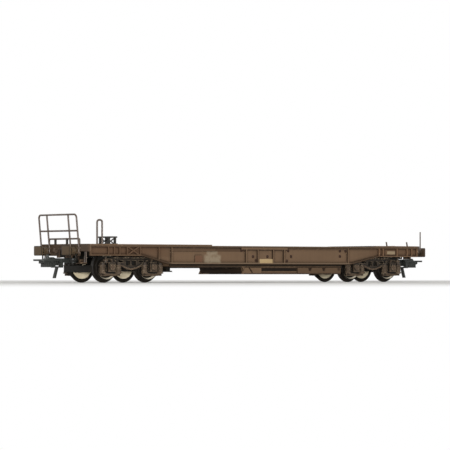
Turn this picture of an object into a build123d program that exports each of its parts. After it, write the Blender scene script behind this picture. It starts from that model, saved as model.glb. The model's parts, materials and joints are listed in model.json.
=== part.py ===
"""Pocket wagon, H0 scale (1:87): a bogie flat wagon with a sunk pocket for road semi-trailers.

Frame: origin on the centre line, midway between the ends, at the level of the flange tips.
+X runs along the wagon towards the plain end, +Y to the far side, +Z up. Millimetres.
End "a" is the -X end, with the railed platform and the kingpin trestle; end "b" is the +X end.
Pieces are drawn on the near side (-Y) of end a and reflected to the other side or end.
"""
from build123d import *
import os
from math import cos, radians, sin

os.makedirs("parts", exist_ok=True)

# ---- driving dimensions ------------------------------------------------------------------
RAIL = 1.0                      # rail head above the flange tips
BUFFER_FACE = 94.75             # half the length over buffers
PIVOT_X = 64.4                  # half the distance between the bogie pivots
AXLE_DX = 10.37                 # half a bogie's wheelbase

SILL_FACE = 16.0                # outer faces of the sill's flanges, from the centre line
WEB_OUT = 15.5
WEB_IN = 15.0
RIB_FACE = 15.9
INNER = 14.0                    # half width between the sills' top flanges
SILL_TOP = RAIL + 14.0
DECK_TOP = RAIL + 14.45
DECK_THICK = 0.6
FLANGE = 0.6                    # height of the sill's top flange
LIP = 0.45                      # height of the sill's bottom flange
SHALLOW = RAIL + 9.8            # underside of the sill at the ends
DEEP = RAIL + 6.4               # underside of the sill along the pocket
TAPER_A = (-61.2, -47.0)        # the sill goes from shallow to deep here
TAPER_B = (48.1, 64.8)
SILL_END = 87.0                 # where the sill meets the chamfered corner
HEAD_FACE = 90.2                # outer face of the headstock
HEAD_HALF = 13.6                # half width of the headstock
RAISED_X = 63.0                 # the end platforms cover the sills outside this

POCKET_A = -46.5                # the pocket's ends at deck level
POCKET_B = 47.4
FLOOR_HIGH = RAIL + 5.9         # upper face of the pocket's front floor
FLOOR_LOW = RAIL + 3.4          # upper face of the sunk floor
FLOOR_THICK = 0.6
SUNK_A = -9.0                   # the sunk floor's ends
SUNK_B = 44.0
SUNK_BOTTOM = RAIL + 2.37
SIDE_LOW = RAIL + 5.1           # underside of the pocket's sides beside the front floor
SIDE_OUT = 14.8

AXLE_Z = RAIL + 5.3
AXLE_R = 0.75
AXLE_END = 12.2
TREAD_R = 5.3
FLANGE_R = 6.3
WHEEL_BACK = 7.2                # inner faces of the wheels
WHEEL_FRONT = 10.0
RUN_GAP = 0.05                  # running clearance of axles, pivots and pins

PIVOT_R = 2.0
CENTRE_Z = RAIL + 8.9           # top of the bogie's centre plate
BOLSTER_Z = CENTRE_Z + 0.1      # underside of the wagon's bolster

COUPLER_X = 84.5                # swing axis of the drawbar
LOOP_X = 92.0                   # lift axis of the coupling loop
LOOP_Z = RAIL + 8.0

ENDS = {"a": -1, "b": 1}
SIDES = {"near": -1, "far": 1}


def save(solid, name):
    """Label a finished piece and write it as its own STEP file."""
    solid.label = name
    export_step(solid, f"parts/{name}.step")


def side_plane(y):
    """A drawing plane seen from the near side, at distance y from the centre line."""
    return Plane.XZ.offset(y)


def to_side(solid, side):
    """A near-side piece as it is, or reflected to the far side."""
    return solid if side < 0 else mirror(solid, about=Plane.XZ)


def to_end(solid, end):
    """An end-a piece as it is, or reflected to end b."""
    return solid if end < 0 else mirror(solid, about=Plane.YZ)


# ---- side sills --------------------------------------------------------------------------
SILL_OUTLINE = [
    (-SILL_END, SILL_TOP),
    (SILL_END, SILL_TOP),
    (SILL_END, SHALLOW),
    (TAPER_B[1], SHALLOW),
    (TAPER_B[0], DEEP),
    (TAPER_A[1], DEEP),
    (TAPER_A[0], SHALLOW),
    (-SILL_END, SHALLOW),
]
RIB_WIDE = 0.5
RIB_X = [
    -86.7, -78.1, -75.1, -72.5, -68.9, -62.3, -53.0, -46.5, -8.0,
    -1.7, 6.5, 12.3, 47.4, 64.9, 67.2, 75.2, 81.0, 83.7, 86.7,
]
FACE_PLATES = [                 # plates on the web: from x, to x, from z, to z, outer face
    (-46.2, -24.0, RAIL + 11.8, RAIL + 12.9, WEB_OUT + 0.15),
    (-34.6, -30.8, RAIL + 7.1, RAIL + 10.1, WEB_OUT + 0.2),
    (-10.6, 14.0, RAIL + 12.6, SILL_TOP, SILL_FACE - 0.05),
    (14.0, 47.4, RAIL + 12.8, SILL_TOP, WEB_OUT + 0.15),
    (68.6, 73.8, RAIL + 10.7, RAIL + 12.7, WEB_OUT + 0.15),
]
BRACE_X = (-68.4, -63.0)        # crossed braces stand between these
BRACE_WIDE = 0.45
CURB_X = (-RAISED_X, -26.0)     # kerb on top of the sill beside the pocket's front


def sill_bottom(x):
    """Height of the sill's underside at x."""
    if TAPER_A[0] < x < TAPER_A[1]:
        return SHALLOW + (DEEP - SHALLOW) * (x - TAPER_A[0]) / (TAPER_A[1] - TAPER_A[0])
    if TAPER_B[0] < x < TAPER_B[1]:
        return DEEP + (SHALLOW - DEEP) * (x - TAPER_B[0]) / (TAPER_B[1] - TAPER_B[0])
    return DEEP if TAPER_A[1] <= x <= TAPER_B[0] else SHALLOW


def upright(x0, x1):
    """Corners of an upright strip of the sill from x0 to x1, from flange to flange."""
    return [
        (x0, SILL_TOP - FLANGE / 2),
        (x1, SILL_TOP - FLANGE / 2),
        (x1, sill_bottom(x1) + LIP / 2),
        (x0, sill_bottom(x0) + LIP / 2),
    ]


with BuildPart() as side_sill:
    with BuildSketch(side_plane(WEB_IN)):
        Polygon(*SILL_OUTLINE, align=None)
    extrude(amount=WEB_OUT - WEB_IN)
    with BuildSketch(side_plane(INNER)):
        with Locations((0, SILL_TOP - FLANGE / 2)):
            Rectangle(2 * SILL_END, FLANGE)
    extrude(amount=SILL_FACE - INNER)
    with BuildSketch(side_plane(WEB_IN)):
        Polygon(*SILL_OUTLINE, align=None)
        with Locations((0, LIP)):
            Polygon(*SILL_OUTLINE, align=None, mode=Mode.SUBTRACT)
    extrude(amount=SILL_FACE - WEB_IN)
    with BuildSketch(side_plane(WEB_IN)):
        for x in RIB_X:
            Polygon(*upright(x - RIB_WIDE / 2, x + RIB_WIDE / 2), align=None)
        for x0, x1 in (BRACE_X, BRACE_X[::-1]):
            Polygon(
                (x0 - BRACE_WIDE, SHALLOW + LIP),
                (x0 + BRACE_WIDE, SHALLOW + LIP),
                (x1 + BRACE_WIDE, SILL_TOP - FLANGE),
                (x1 - BRACE_WIDE, SILL_TOP - FLANGE),
                align=None,
            )
    extrude(amount=RIB_FACE - WEB_IN)
    for x0, x1, z0, z1, face in FACE_PLATES:
        with BuildSketch(side_plane(WEB_IN)):
            with Locations(((x0 + x1) / 2, (z0 + z1) / 2)):
                Rectangle(x1 - x0, z1 - z0)
        extrude(amount=face - WEB_IN)
    with BuildSketch(side_plane(SILL_FACE - 0.8)):
        with Locations(((CURB_X[0] + CURB_X[1]) / 2, (SILL_TOP + DECK_TOP) / 2)):
            Rectangle(CURB_X[1] - CURB_X[0], DECK_TOP - SILL_TOP)
    extrude(amount=0.8)

for side_name, side in SIDES.items():
    save(to_side(side_sill.part, side), f"side_sill_{side_name}")

# ---- end platforms, centre beams, bolsters and headstocks --------------------------------
BEAM_HALF = 3.5                 # half width of the centre beam
BEAM_Z = RAIL + 10.8
BOLSTER_HALF = 2.6
BOLSTER_LOW_HALF = 9.8          # half width of the bolster's lower part, between the side frames
BOLSTER_STEP = RAIL + 10.0
PIN_Z = RAIL + 5.4              # lower end of the pivot pin
POST_R = 1.2                    # the drawbar swings on this post
POST_Z = RAIL + 6.2
GUIDE_X = (-89.2, -86.4)        # housing over the drawbar, behind the headstock
GUIDE_Z = RAIL + 9.1
BULKHEAD_X = -83.2              # cross plates behind the headstock of end a
BULKHEAD_Z = RAIL + 6.4
CROSS_RIB_X = [-84.0, -79.0, -73.5, -57.5, -52.5]
CROSS_RIB_DEEP = 1.0
GUSSET_Z = SHALLOW + 1.7        # underside of the corner plates between headstock and sills


def platform(pocket_x):
    """The deck plate of end a with its cross ribs, from the headstock to the pocket's edge."""
    with BuildPart() as deck:
        with BuildSketch(Plane.XY.offset(SILL_TOP)):
            Polygon(
                (-HEAD_FACE, -HEAD_HALF),
                (-SILL_END, -SILL_FACE),
                (-RAISED_X, -SILL_FACE),
                (-RAISED_X, SILL_FACE),
                (-SILL_END, SILL_FACE),
                (-HEAD_FACE, HEAD_HALF),
                align=None,
            )
        extrude(amount=DECK_TOP - SILL_TOP)
        with BuildSketch(side_plane(-INNER)):
            with Locations(((-SILL_END + pocket_x) / 2, SILL_TOP - DECK_THICK / 2)):
                Rectangle(SILL_END + pocket_x, DECK_THICK)
            for x in CROSS_RIB_X + [pocket_x - 1.0]:
                with Locations((x, SILL_TOP - DECK_THICK - CROSS_RIB_DEEP / 2)):
                    Rectangle(0.7, CROSS_RIB_DEEP)
        extrude(amount=2 * INNER)
        with BuildSketch(Plane.XY.offset(SILL_TOP - DECK_THICK)):
            with Locations(((-SILL_END + pocket_x) / 2, 0)):
                Rectangle(SILL_END + pocket_x, 2 * BEAM_HALF)
        extrude(amount=-CROSS_RIB_DEEP, mode=Mode.SUBTRACT)
    return deck.part


def centre_beam(pocket_x):
    """The box beam under the deck of end a, with the drawbar's post and its housing."""
    spans = (
        (-HEAD_FACE + 1.0, -PIVOT_X - BOLSTER_HALF),
        (-PIVOT_X + BOLSTER_HALF, pocket_x - 0.4),
    )
    with BuildPart() as beam:
        for x0, x1 in spans:
            with BuildSketch(Plane.XY.offset(BEAM_Z)):
                with Locations(((x0 + x1) / 2, 0)):
                    Rectangle(x1 - x0, 2 * BEAM_HALF)
            extrude(amount=SILL_TOP - DECK_THICK - BEAM_Z)
        with BuildSketch(Plane.XY.offset(POST_Z)):
            with Locations((-COUPLER_X, 0)):
                Circle(POST_R)
        extrude(amount=BEAM_Z - POST_Z)
        with BuildSketch(Plane.XY.offset(GUIDE_Z)):
            with Locations(((GUIDE_X[0] + GUIDE_X[1]) / 2, 0)):
                Rectangle(GUIDE_X[1] - GUIDE_X[0], 4.4)
        extrude(amount=BEAM_Z - GUIDE_Z)
    return beam.part


with BuildPart() as headstock:
    with BuildSketch(Plane.XY.offset(SHALLOW)):
        Polygon(
            (-HEAD_FACE, -HEAD_HALF),
            (-HEAD_FACE, HEAD_HALF),
            (-SILL_END, HEAD_HALF),
            (-SILL_END, HEAD_HALF - 1.0),
            (-HEAD_FACE + 1.0, HEAD_HALF - 1.0),
            (-HEAD_FACE + 1.0, -HEAD_HALF + 1.0),
            (-SILL_END, -HEAD_HALF + 1.0),
            (-SILL_END, -HEAD_HALF),
            align=None,
        )
    extrude(amount=SILL_TOP - SHALLOW)
    with BuildSketch(Plane.YZ.offset(-HEAD_FACE)):
        with Locations((0, SHALLOW)):
            Rectangle(6.4, 2.0)
        with Locations((-HEAD_HALF, SHALLOW), (HEAD_HALF, SHALLOW)):
            Rectangle(2.4, 3.4)
    extrude(amount=4.0, mode=Mode.SUBTRACT)
    with BuildSketch(Plane.XY.offset(GUSSET_Z)):
        for side in SIDES.values():
            Polygon(
                (-HEAD_FACE, side * HEAD_HALF),
                (-SILL_END, side * HEAD_HALF),
                (-SILL_END, side * SILL_FACE),
                align=None,
            )
    extrude(amount=SILL_TOP - GUSSET_Z)

with BuildPart() as bolster:
    with BuildSketch(side_plane(-WEB_IN)):
        with Locations((-PIVOT_X, (BOLSTER_STEP + SILL_TOP - DECK_THICK) / 2)):
            Rectangle(2 * BOLSTER_HALF, SILL_TOP - DECK_THICK - BOLSTER_STEP)
    extrude(amount=2 * WEB_IN)
    with BuildSketch(side_plane(-BOLSTER_LOW_HALF)):
        with Locations((-PIVOT_X, (BOLSTER_Z + BOLSTER_STEP) / 2)):
            Rectangle(2 * BOLSTER_HALF, BOLSTER_STEP - BOLSTER_Z)
    extrude(amount=2 * BOLSTER_LOW_HALF)
    with BuildSketch(Plane.XY.offset(PIN_Z)):
        with Locations((-PIVOT_X, 0)):
            Circle(PIVOT_R)
    extrude(amount=BOLSTER_Z - PIN_Z)

with BuildPart() as end_bulkhead:
    with BuildSketch(Plane.YZ.offset(BULKHEAD_X)):
        for side in SIDES.values():
            Polygon(
                (side * BEAM_HALF, SILL_TOP - DECK_THICK),
                (side * BEAM_HALF, BULKHEAD_Z + 1.0),
                (side * (BEAM_HALF + 1.0), BULKHEAD_Z),
                (side * (HEAD_HALF - 2.0), BULKHEAD_Z),
                (side * (HEAD_HALF - 0.6), SHALLOW),
                (side * (HEAD_HALF - 0.6), SILL_TOP - DECK_THICK),
                align=None,
            )
    extrude(amount=0.2, both=True)

save(end_bulkhead.part, "end_bulkhead")

for end_name, end in ENDS.items():
    pocket_x = POCKET_A if end < 0 else -POCKET_B
    save(to_end(platform(pocket_x), end), f"deck_{end_name}")
    save(to_end(centre_beam(pocket_x), end), f"centre_beam_{end_name}")
    save(to_end(headstock.part, end), f"headstock_{end_name}")
    save(to_end(bolster.part, end), f"bolster_{end_name}")

# ---- pocket ------------------------------------------------------------------------------
FLOOR_PROFILE = [               # upper face of the pocket, from the deck of end a to that of b
    (POCKET_A + 0.65, SILL_TOP),
    (POCKET_A + 2.4, FLOOR_HIGH),
    (SUNK_A, FLOOR_HIGH),
    (SUNK_A + 0.8, FLOOR_LOW),
    (SUNK_B - 1.2, FLOOR_LOW),
    (SUNK_B, FLOOR_LOW + 1.6),
    (POCKET_B - 0.65, SILL_TOP),
]
FLOOR_RIB_X = [-38.0, -31.0, -24.0, -17.0, -4.0, 4.0, 12.0, 20.0, 28.0, 36.0]

with BuildPart() as pocket_floor:
    with BuildSketch(side_plane(-INNER)):
        with BuildLine():
            floor_top = Polyline(*FLOOR_PROFILE)
            offset(floor_top, amount=FLOOR_THICK, side=Side.RIGHT)
        make_face()
    extrude(amount=2 * INNER)
    for x in FLOOR_RIB_X:
        floor_z = (FLOOR_HIGH if x < SUNK_A else FLOOR_LOW) - FLOOR_THICK
        with BuildSketch(Plane.XY.offset(floor_z)):
            with Locations((x, 0)):
                Rectangle(0.8, 2 * INNER)
        extrude(amount=-0.4)

save(pocket_floor.part, "pocket_floor")

SLOT = (0.7, 20.3, RAIL + 3.56, SIDE_LOW)   # long hole low in the pocket's side
WALL = 0.35                     # thickness of the upper part of the pocket's side
POCKET_SIDE = [
    (POCKET_A + 0.7, SILL_TOP - FLANGE),
    (POCKET_B - 0.7, SILL_TOP - FLANGE),
    (SUNK_B + 0.3, FLOOR_LOW),
    (SUNK_B, SUNK_BOTTOM),
    (SUNK_A + 0.8, SUNK_BOTTOM),
    (SUNK_A, SIDE_LOW),
    (POCKET_A + 2.6, SIDE_LOW),
]
LOWER_SIDE = [
    (-47.0, SIDE_LOW + 1.6),
    (SUNK_B, SIDE_LOW + 1.6),
    (SUNK_B, SUNK_BOTTOM),
    (SUNK_A + 0.8, SUNK_BOTTOM),
    (SUNK_A, SIDE_LOW),
    (-46.0, SIDE_LOW),
]
JACK_PLATES = (                 # two lobes of the jacking bracket, with a slanted gap between
    ((-9.4, SUNK_BOTTOM), (-8.0, SIDE_LOW), (-6.2, SIDE_LOW), (-4.0, SUNK_BOTTOM)),
    ((-5.4, SIDE_LOW), (SLOT[0], SIDE_LOW), (SLOT[0], SUNK_BOTTOM), (-3.2, SUNK_BOTTOM)),
)
NOTCH_X = (27.0, 34.6)          # V notches in the plate behind the slot
NOTCH_HALF = 1.1

with BuildPart() as pocket_side:
    with BuildSketch(side_plane(INNER)):
        Polygon(*POCKET_SIDE, align=None)
    extrude(amount=WALL)
    with BuildSketch(side_plane(INNER)):
        Polygon(*LOWER_SIDE, align=None)
    extrude(amount=SIDE_OUT - 0.2 - INNER)
    with BuildSketch(side_plane(INNER)):
        Polygon(*LOWER_SIDE, align=None)
        with Locations(((SUNK_A + SUNK_B) / 2 + 1.0, (SUNK_BOTTOM + SIDE_LOW) / 2 + 0.5)):
            Rectangle(SUNK_B - SUNK_A, SIDE_LOW - SUNK_BOTTOM, mode=Mode.SUBTRACT)
    extrude(amount=SIDE_OUT - INNER)
    with BuildSketch(side_plane(INNER)):
        for lobe in JACK_PLATES:
            Polygon(*lobe, align=None)
        with Locations(((SLOT[1] + SUNK_B) / 2, (SUNK_BOTTOM + SIDE_LOW) / 2)):
            Rectangle(SUNK_B - SLOT[1], SIDE_LOW - SUNK_BOTTOM)
        for x in NOTCH_X:
            Polygon(
                (x - NOTCH_HALF, SIDE_LOW),
                (x, SIDE_LOW - 1.6),
                (x + NOTCH_HALF, SIDE_LOW),
                align=None,
                mode=Mode.SUBTRACT,
            )
    extrude(amount=SIDE_OUT + 0.1 - INNER)
    with BuildSketch(side_plane(INNER + WALL)):
        with Locations(((SLOT[0] + SLOT[1]) / 2, (SLOT[2] + SLOT[3]) / 2)):
            Rectangle(SLOT[1] - SLOT[0], SLOT[3] - SLOT[2])
    extrude(amount=SIDE_OUT - INNER, mode=Mode.SUBTRACT)

for side_name, side in SIDES.items():
    save(to_side(pocket_side.part, side), f"pocket_side_{side_name}")

# ---- kingpin trestle ---------------------------------------------------------------------
TRESTLE_X = -67.2
TRESTLE_TOP = RAIL + 17.7
TRESTLE_HALF_X = 1.5            # the posts' places, from the middle
TRESTLE_HALF_Y = 3.0
TRESTLE_PLATE = 0.6
POST_WIDE = 0.8
KINGPIN_R = 1.0

with BuildPart() as trestle:
    with BuildSketch(Plane.XY.offset(DECK_TOP)):
        with Locations((TRESTLE_X, 0)):
            Rectangle(2 * TRESTLE_HALF_X + 1.6, 2 * TRESTLE_HALF_Y + 1.6)
            Rectangle(2 * TRESTLE_HALF_X - 0.9, 2 * TRESTLE_HALF_Y - 0.9, mode=Mode.SUBTRACT)
    extrude(amount=0.4)
    with BuildSketch(Plane.XY.offset(DECK_TOP)):
        with Locations((TRESTLE_X, 0)):
            with GridLocations(2 * TRESTLE_HALF_X, 2 * TRESTLE_HALF_Y, 2, 2):
                Rectangle(POST_WIDE, POST_WIDE)
    extrude(amount=TRESTLE_TOP - TRESTLE_PLATE - DECK_TOP)
    for x in (TRESTLE_X - TRESTLE_HALF_X, TRESTLE_X + TRESTLE_HALF_X):
        with BuildSketch(Plane.YZ.offset(x - 0.25)):
            for flip in (-TRESTLE_HALF_Y, TRESTLE_HALF_Y):
                Polygon(
                    (flip - 0.4, DECK_TOP),
                    (flip + 0.4, DECK_TOP),
                    (-flip + 0.4, TRESTLE_TOP - TRESTLE_PLATE),
                    (-flip - 0.4, TRESTLE_TOP - TRESTLE_PLATE),
                    align=None,
                )
        extrude(amount=0.5)
    with BuildSketch(Plane.XY.offset(TRESTLE_TOP - TRESTLE_PLATE)):
        with Locations((TRESTLE_X, 0)):
            Rectangle(2 * TRESTLE_HALF_X + 1.4, 2 * TRESTLE_HALF_Y + 1.4)
            Circle(KINGPIN_R, mode=Mode.SUBTRACT)
    extrude(amount=TRESTLE_PLATE)

save(trestle.part, "kingpin_trestle")

# ---- railings, posts and steps -----------------------------------------------------------
WIRE_R = 0.34
WIRE_SIDES = 6
RAILING_LEAN = 5.7              # degrees outwards
RAILING_HIGH = 13.2
RAILING_BASE = RAIL + 13.0
RAILING_BAR = 6.7               # height of the middle bar over the base
RAILING_HALF = 13.1
UPRIGHT_Y = 7.4
STOP_BAR_X = -89.3
STOP_BAR_TOP = RAIL + 16.6
STOP_BAR_Y = (-11.8, 9.4)
STOP_POST_Y = (-3.1, 5.0)
railing_plane = Plane(
    origin=(-HEAD_FACE - WIRE_R, 0, RAILING_BASE),
    x_dir=(0, -1, 0),
    z_dir=(-cos(radians(RAILING_LEAN)), 0, -sin(radians(RAILING_LEAN))),
)

with BuildPart() as end_railing:
    with BuildLine(railing_plane) as hoop:
        FilletPolyline(
            (-RAILING_HALF, 0),
            (-RAILING_HALF, RAILING_HIGH),
            (RAILING_HALF, RAILING_HIGH),
            (RAILING_HALF, 0),
            radius=1.4,
        )
    with BuildSketch(Plane(origin=hoop.line @ 0, z_dir=hoop.line % 0)):
        RegularPolygon(WIRE_R, WIRE_SIDES)
    sweep()
    for y in (-UPRIGHT_Y, UPRIGHT_Y):
        upright_base = railing_plane.from_local_coords((y, 0, 0))
        with BuildSketch(Plane(upright_base, z_dir=railing_plane.y_dir)):
            RegularPolygon(WIRE_R * 0.95, WIRE_SIDES)
        extrude(amount=RAILING_HIGH)
    bar_start = railing_plane.from_local_coords((-RAILING_HALF, RAILING_BAR, 0))
    with BuildSketch(Plane(bar_start, z_dir=railing_plane.x_dir)):
        RegularPolygon(WIRE_R * 0.85, WIRE_SIDES)
    extrude(amount=2 * RAILING_HALF)
    with BuildSketch(Plane.XY.offset(RAILING_BASE - 0.2)):
        for y in (-RAILING_HALF, -UPRIGHT_Y, UPRIGHT_Y, RAILING_HALF):
            with Locations((-HEAD_FACE - WIRE_R / 2, y)):
                Rectangle(WIRE_R, 0.9)
    extrude(amount=1.0)

save(end_railing.part, "end_railing")

with BuildPart() as stop_bar:
    with BuildLine(Plane.YZ.offset(STOP_BAR_X)) as bar_path:
        FilletPolyline(
            (STOP_BAR_Y[0], DECK_TOP),
            (STOP_BAR_Y[0], STOP_BAR_TOP),
            (STOP_BAR_Y[1], STOP_BAR_TOP),
            (STOP_BAR_Y[1], DECK_TOP),
            radius=0.6,
        )
    with BuildSketch(Plane(origin=bar_path.line @ 0, z_dir=bar_path.line % 0)):
        RegularPolygon(WIRE_R, WIRE_SIDES)
    sweep()
    for y in STOP_POST_Y:
        with BuildSketch(Plane.XY.offset(DECK_TOP)):
            with Locations((STOP_BAR_X, y)):
                Rectangle(0.6, 0.9)
        extrude(amount=STOP_BAR_TOP - DECK_TOP)

save(stop_bar.part, "stop_bar")

HANDRAIL_X = (-83.4, -80.9)
HANDRAIL_TOP = RAIL + 24.0

with BuildPart() as handrail:
    with BuildLine(side_plane(15.4)) as grab_path:
        FilletPolyline(
            (HANDRAIL_X[0], DECK_TOP),
            (HANDRAIL_X[0], HANDRAIL_TOP),
            (HANDRAIL_X[1], HANDRAIL_TOP),
            (HANDRAIL_X[1], DECK_TOP),
            radius=1.1,
        )
    with BuildSketch(Plane(origin=grab_path.line @ 0, z_dir=grab_path.line % 0)):
        RegularPolygon(WIRE_R, WIRE_SIDES)
    sweep()

save(handrail.part, "handrail")

END_POST = (HEAD_FACE + 0.7, -HEAD_HALF + 0.3)
END_POST_TOP = RAIL + 20.7

with BuildPart() as end_post:
    with BuildSketch(Plane.XY.offset(SILL_TOP - 1.2)):
        with Locations((HEAD_FACE + 0.5, END_POST[1])):
            Rectangle(1.0, 0.6)
    extrude(amount=0.8)
    with BuildSketch(Plane.XY.offset(SILL_TOP - 0.8)):
        with Locations(END_POST):
            RegularPolygon(0.28, WIRE_SIDES)
    extrude(amount=END_POST_TOP - SILL_TOP + 0.8)

save(end_post.part, "end_post")

with BuildPart() as stakes:
    with BuildSketch(side_plane(15.0)):
        for x in (69.6, 81.3):
            Polygon(
                (x + 0.1, DECK_TOP),
                (x + 0.6, DECK_TOP),
                (x + 0.2, DECK_TOP + 1.8),
                (x - 0.3, DECK_TOP + 1.8),
                align=None,
            )
    extrude(amount=0.4)

save(stakes.part, "stakes")

STEP_Z = RAIL + 6.7
STEP_X = (-90.6, -88.0)
STEP_Y = (HEAD_HALF, HEAD_HALF + 1.4)

with BuildPart() as corner_step:
    with BuildSketch(Plane.XY.offset(STEP_Z)):
        with Locations(((STEP_X[0] + STEP_X[1]) / 2, -(STEP_Y[0] + STEP_Y[1]) / 2)):
            Rectangle(STEP_X[1] - STEP_X[0], STEP_Y[1] - STEP_Y[0])
    extrude(amount=0.45)
    with BuildSketch(side_plane(STEP_Y[0])):
        Polygon(
            (STEP_X[1] - 0.5, STEP_Z),
            (STEP_X[1], STEP_Z),
            (STEP_X[1] + 0.8, GUSSET_Z),
            (STEP_X[1] + 0.3, GUSSET_Z),
            align=None,
        )
    extrude(amount=0.5)

for side_name, side in SIDES.items():
    save(to_side(corner_step.part, side), f"corner_step_{side_name}")

BRAKE_VALVE = (-44.0, -8.5)
with BuildPart() as brake_valve:
    with BuildSketch(Plane.XY.offset(RAIL + 3.8)):
        with Locations(BRAKE_VALVE):
            Rectangle(1.9, 3.0)
    extrude(amount=FLOOR_HIGH - FLOOR_THICK - RAIL - 3.8)
    with BuildSketch(Plane.XY.offset(RAIL + 3.3)):
        with Locations(BRAKE_VALVE):
            Rectangle(3.0, 4.2)
    extrude(amount=0.5)

save(brake_valve.part, "brake_valve")

# ---- buffers -----------------------------------------------------------------------------
BUFFER_Y = 9.7
BUFFER_Z = RAIL + 11.8
BUFFER_PLATE = (5.7, 3.9, 0.7)     # across, high, thick
PLUNGER_R = 0.9
SLEEVE_R = 1.35
SLEEVE_X = BUFFER_FACE - 2.0
BASE_THICK = 0.4

with BuildPart() as buffer:
    with BuildSketch(Plane.YZ.offset(-BUFFER_FACE)) as plate_sketch:
        with Locations((-BUFFER_Y, BUFFER_Z)):
            Rectangle(BUFFER_PLATE[0], BUFFER_PLATE[1])
        chamfer(plate_sketch.vertices(), 0.35)
    extrude(amount=BUFFER_PLATE[2])
    with BuildSketch(Plane.YZ.offset(-SLEEVE_X)):
        with Locations((-BUFFER_Y, BUFFER_Z)):
            RegularPolygon(PLUNGER_R, 12)
    extrude(amount=BUFFER_PLATE[2] - BUFFER_FACE + SLEEVE_X)
    with BuildSketch(Plane.YZ.offset(-SLEEVE_X)):
        with Locations((-BUFFER_Y, BUFFER_Z)):
            RegularPolygon(SLEEVE_R, 16)
    extrude(amount=SLEEVE_X - HEAD_FACE)
    with BuildSketch(Plane.YZ.offset(-HEAD_FACE)):
        with Locations((-BUFFER_Y, BUFFER_Z)):
            Rectangle(3.6, 3.4)
    extrude(amount=-BASE_THICK)

for end_name, end in ENDS.items():
    for side_name, side in SIDES.items():
        save(to_end(to_side(buffer.part, side), end), f"buffer_{end_name}_{side_name}")

# ---- couplers ----------------------------------------------------------------------------
SHANK_HALF = 1.6
SHANK_LOW = RAIL + 7.0
SHANK_TOP = RAIL + 8.8
HEAD_REAR = 94.2
HOOK_HALF = 2.0                 # half width of the coupler head
EAR_HALF = 2.4                  # half width of the drawbar where the loop is pinned
RING_R = 2.2
LOOP_PIN_R = 0.4
LOOP_THICK = 0.7
LOOP_REAR = 91.0
LOOP_FRONT = 101.4
LOOP_HALF = 3.5
ARM_IN = 2.9                    # inner faces of the loop's arms
WEB_Z = RAIL + 5.0              # underside of the web that joins the arms below the drawbar
HEAD_OUTLINE = [                # side view of the head and its hook
    (-HEAD_REAR, SHANK_TOP),
    (-95.0, RAIL + 9.2),
    (-96.6, RAIL + 9.2),
    (-97.3, RAIL + 8.4),
    (-99.5, RAIL + 7.7),
    (-99.5, RAIL + 6.9),
    (-98.5, RAIL + 6.5),
    (-98.5, RAIL + 5.2),
    (-95.2, RAIL + 5.2),
    (-HEAD_REAR, RAIL + 6.6),
]

with BuildPart() as coupler:
    with BuildSketch(Plane.XY.offset(SHANK_LOW)):
        with Locations((-COUPLER_X, 0)):
            RegularPolygon(RING_R, 16)
        with Locations((-(COUPLER_X + HEAD_REAR + 0.4) / 2, 0)):
            Rectangle(HEAD_REAR + 0.4 - COUPLER_X, 2 * SHANK_HALF)
        with Locations((-LOOP_X, 0)):
            Rectangle(1.8, 2 * EAR_HALF)
        with Locations((-COUPLER_X, 0)):
            Circle(POST_R + RUN_GAP, mode=Mode.SUBTRACT)
    extrude(amount=SHANK_TOP - SHANK_LOW)
    with BuildSketch(side_plane(-HOOK_HALF)):
        Polygon(*HEAD_OUTLINE, align=None)
    extrude(amount=2 * HOOK_HALF)
    with BuildSketch(side_plane(-EAR_HALF)):
        with Locations((-LOOP_X, LOOP_Z)):
            Circle(LOOP_PIN_R + RUN_GAP)
    extrude(amount=2 * EAR_HALF, mode=Mode.SUBTRACT)

with BuildPart() as coupler_loop:
    with BuildSketch(Plane.XY.offset(LOOP_Z - LOOP_THICK / 2)):
        with Locations((-(LOOP_REAR + LOOP_FRONT) / 2, 0)):
            Rectangle(LOOP_FRONT - LOOP_REAR, 2 * LOOP_HALF)
            Rectangle(LOOP_FRONT - LOOP_REAR - 1.2, 2 * ARM_IN, mode=Mode.SUBTRACT)
        with Locations((-LOOP_REAR, 0)):
            Rectangle(2.6, 2 * ARM_IN, mode=Mode.SUBTRACT)
    extrude(amount=LOOP_THICK)
    chamfer(coupler_loop.edges().filter_by(Axis.Z).group_by(Axis.X)[0], 0.5)
    with BuildSketch(Plane.YZ.offset(-LOOP_X - 0.6)):
        with Locations((0, (WEB_Z + LOOP_Z) / 2)):
            Rectangle(2 * LOOP_HALF, LOOP_Z - WEB_Z)
        with Locations((0, (WEB_Z + 0.6 + LOOP_Z) / 2 + 0.1)):
            Rectangle(2 * ARM_IN, LOOP_Z - WEB_Z - 0.6 + 0.2, mode=Mode.SUBTRACT)
    extrude(amount=1.2)
    with BuildSketch(side_plane(-0.6)):
        Polygon(
            (-LOOP_X - 0.5, WEB_Z + 0.3),
            (-LOOP_X + 0.4, WEB_Z + 0.3),
            (-LOOP_X - 0.9, RAIL + 0.8),
            (-LOOP_X - 1.8, RAIL + 0.8),
            align=None,
        )
    extrude(amount=1.2)
    for side in SIDES.values():
        with BuildSketch(side_plane(-side * (ARM_IN + 0.1))):
            with Locations((-LOOP_X, LOOP_Z)):
                Circle(LOOP_PIN_R)
        extrude(amount=side * (ARM_IN + 0.1 - 1.6))

for end_name, end in ENDS.items():
    save(to_end(coupler.part, end), f"coupler_{end_name}")
    save(to_end(coupler_loop.part, end), f"coupler_loop_{end_name}")

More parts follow.
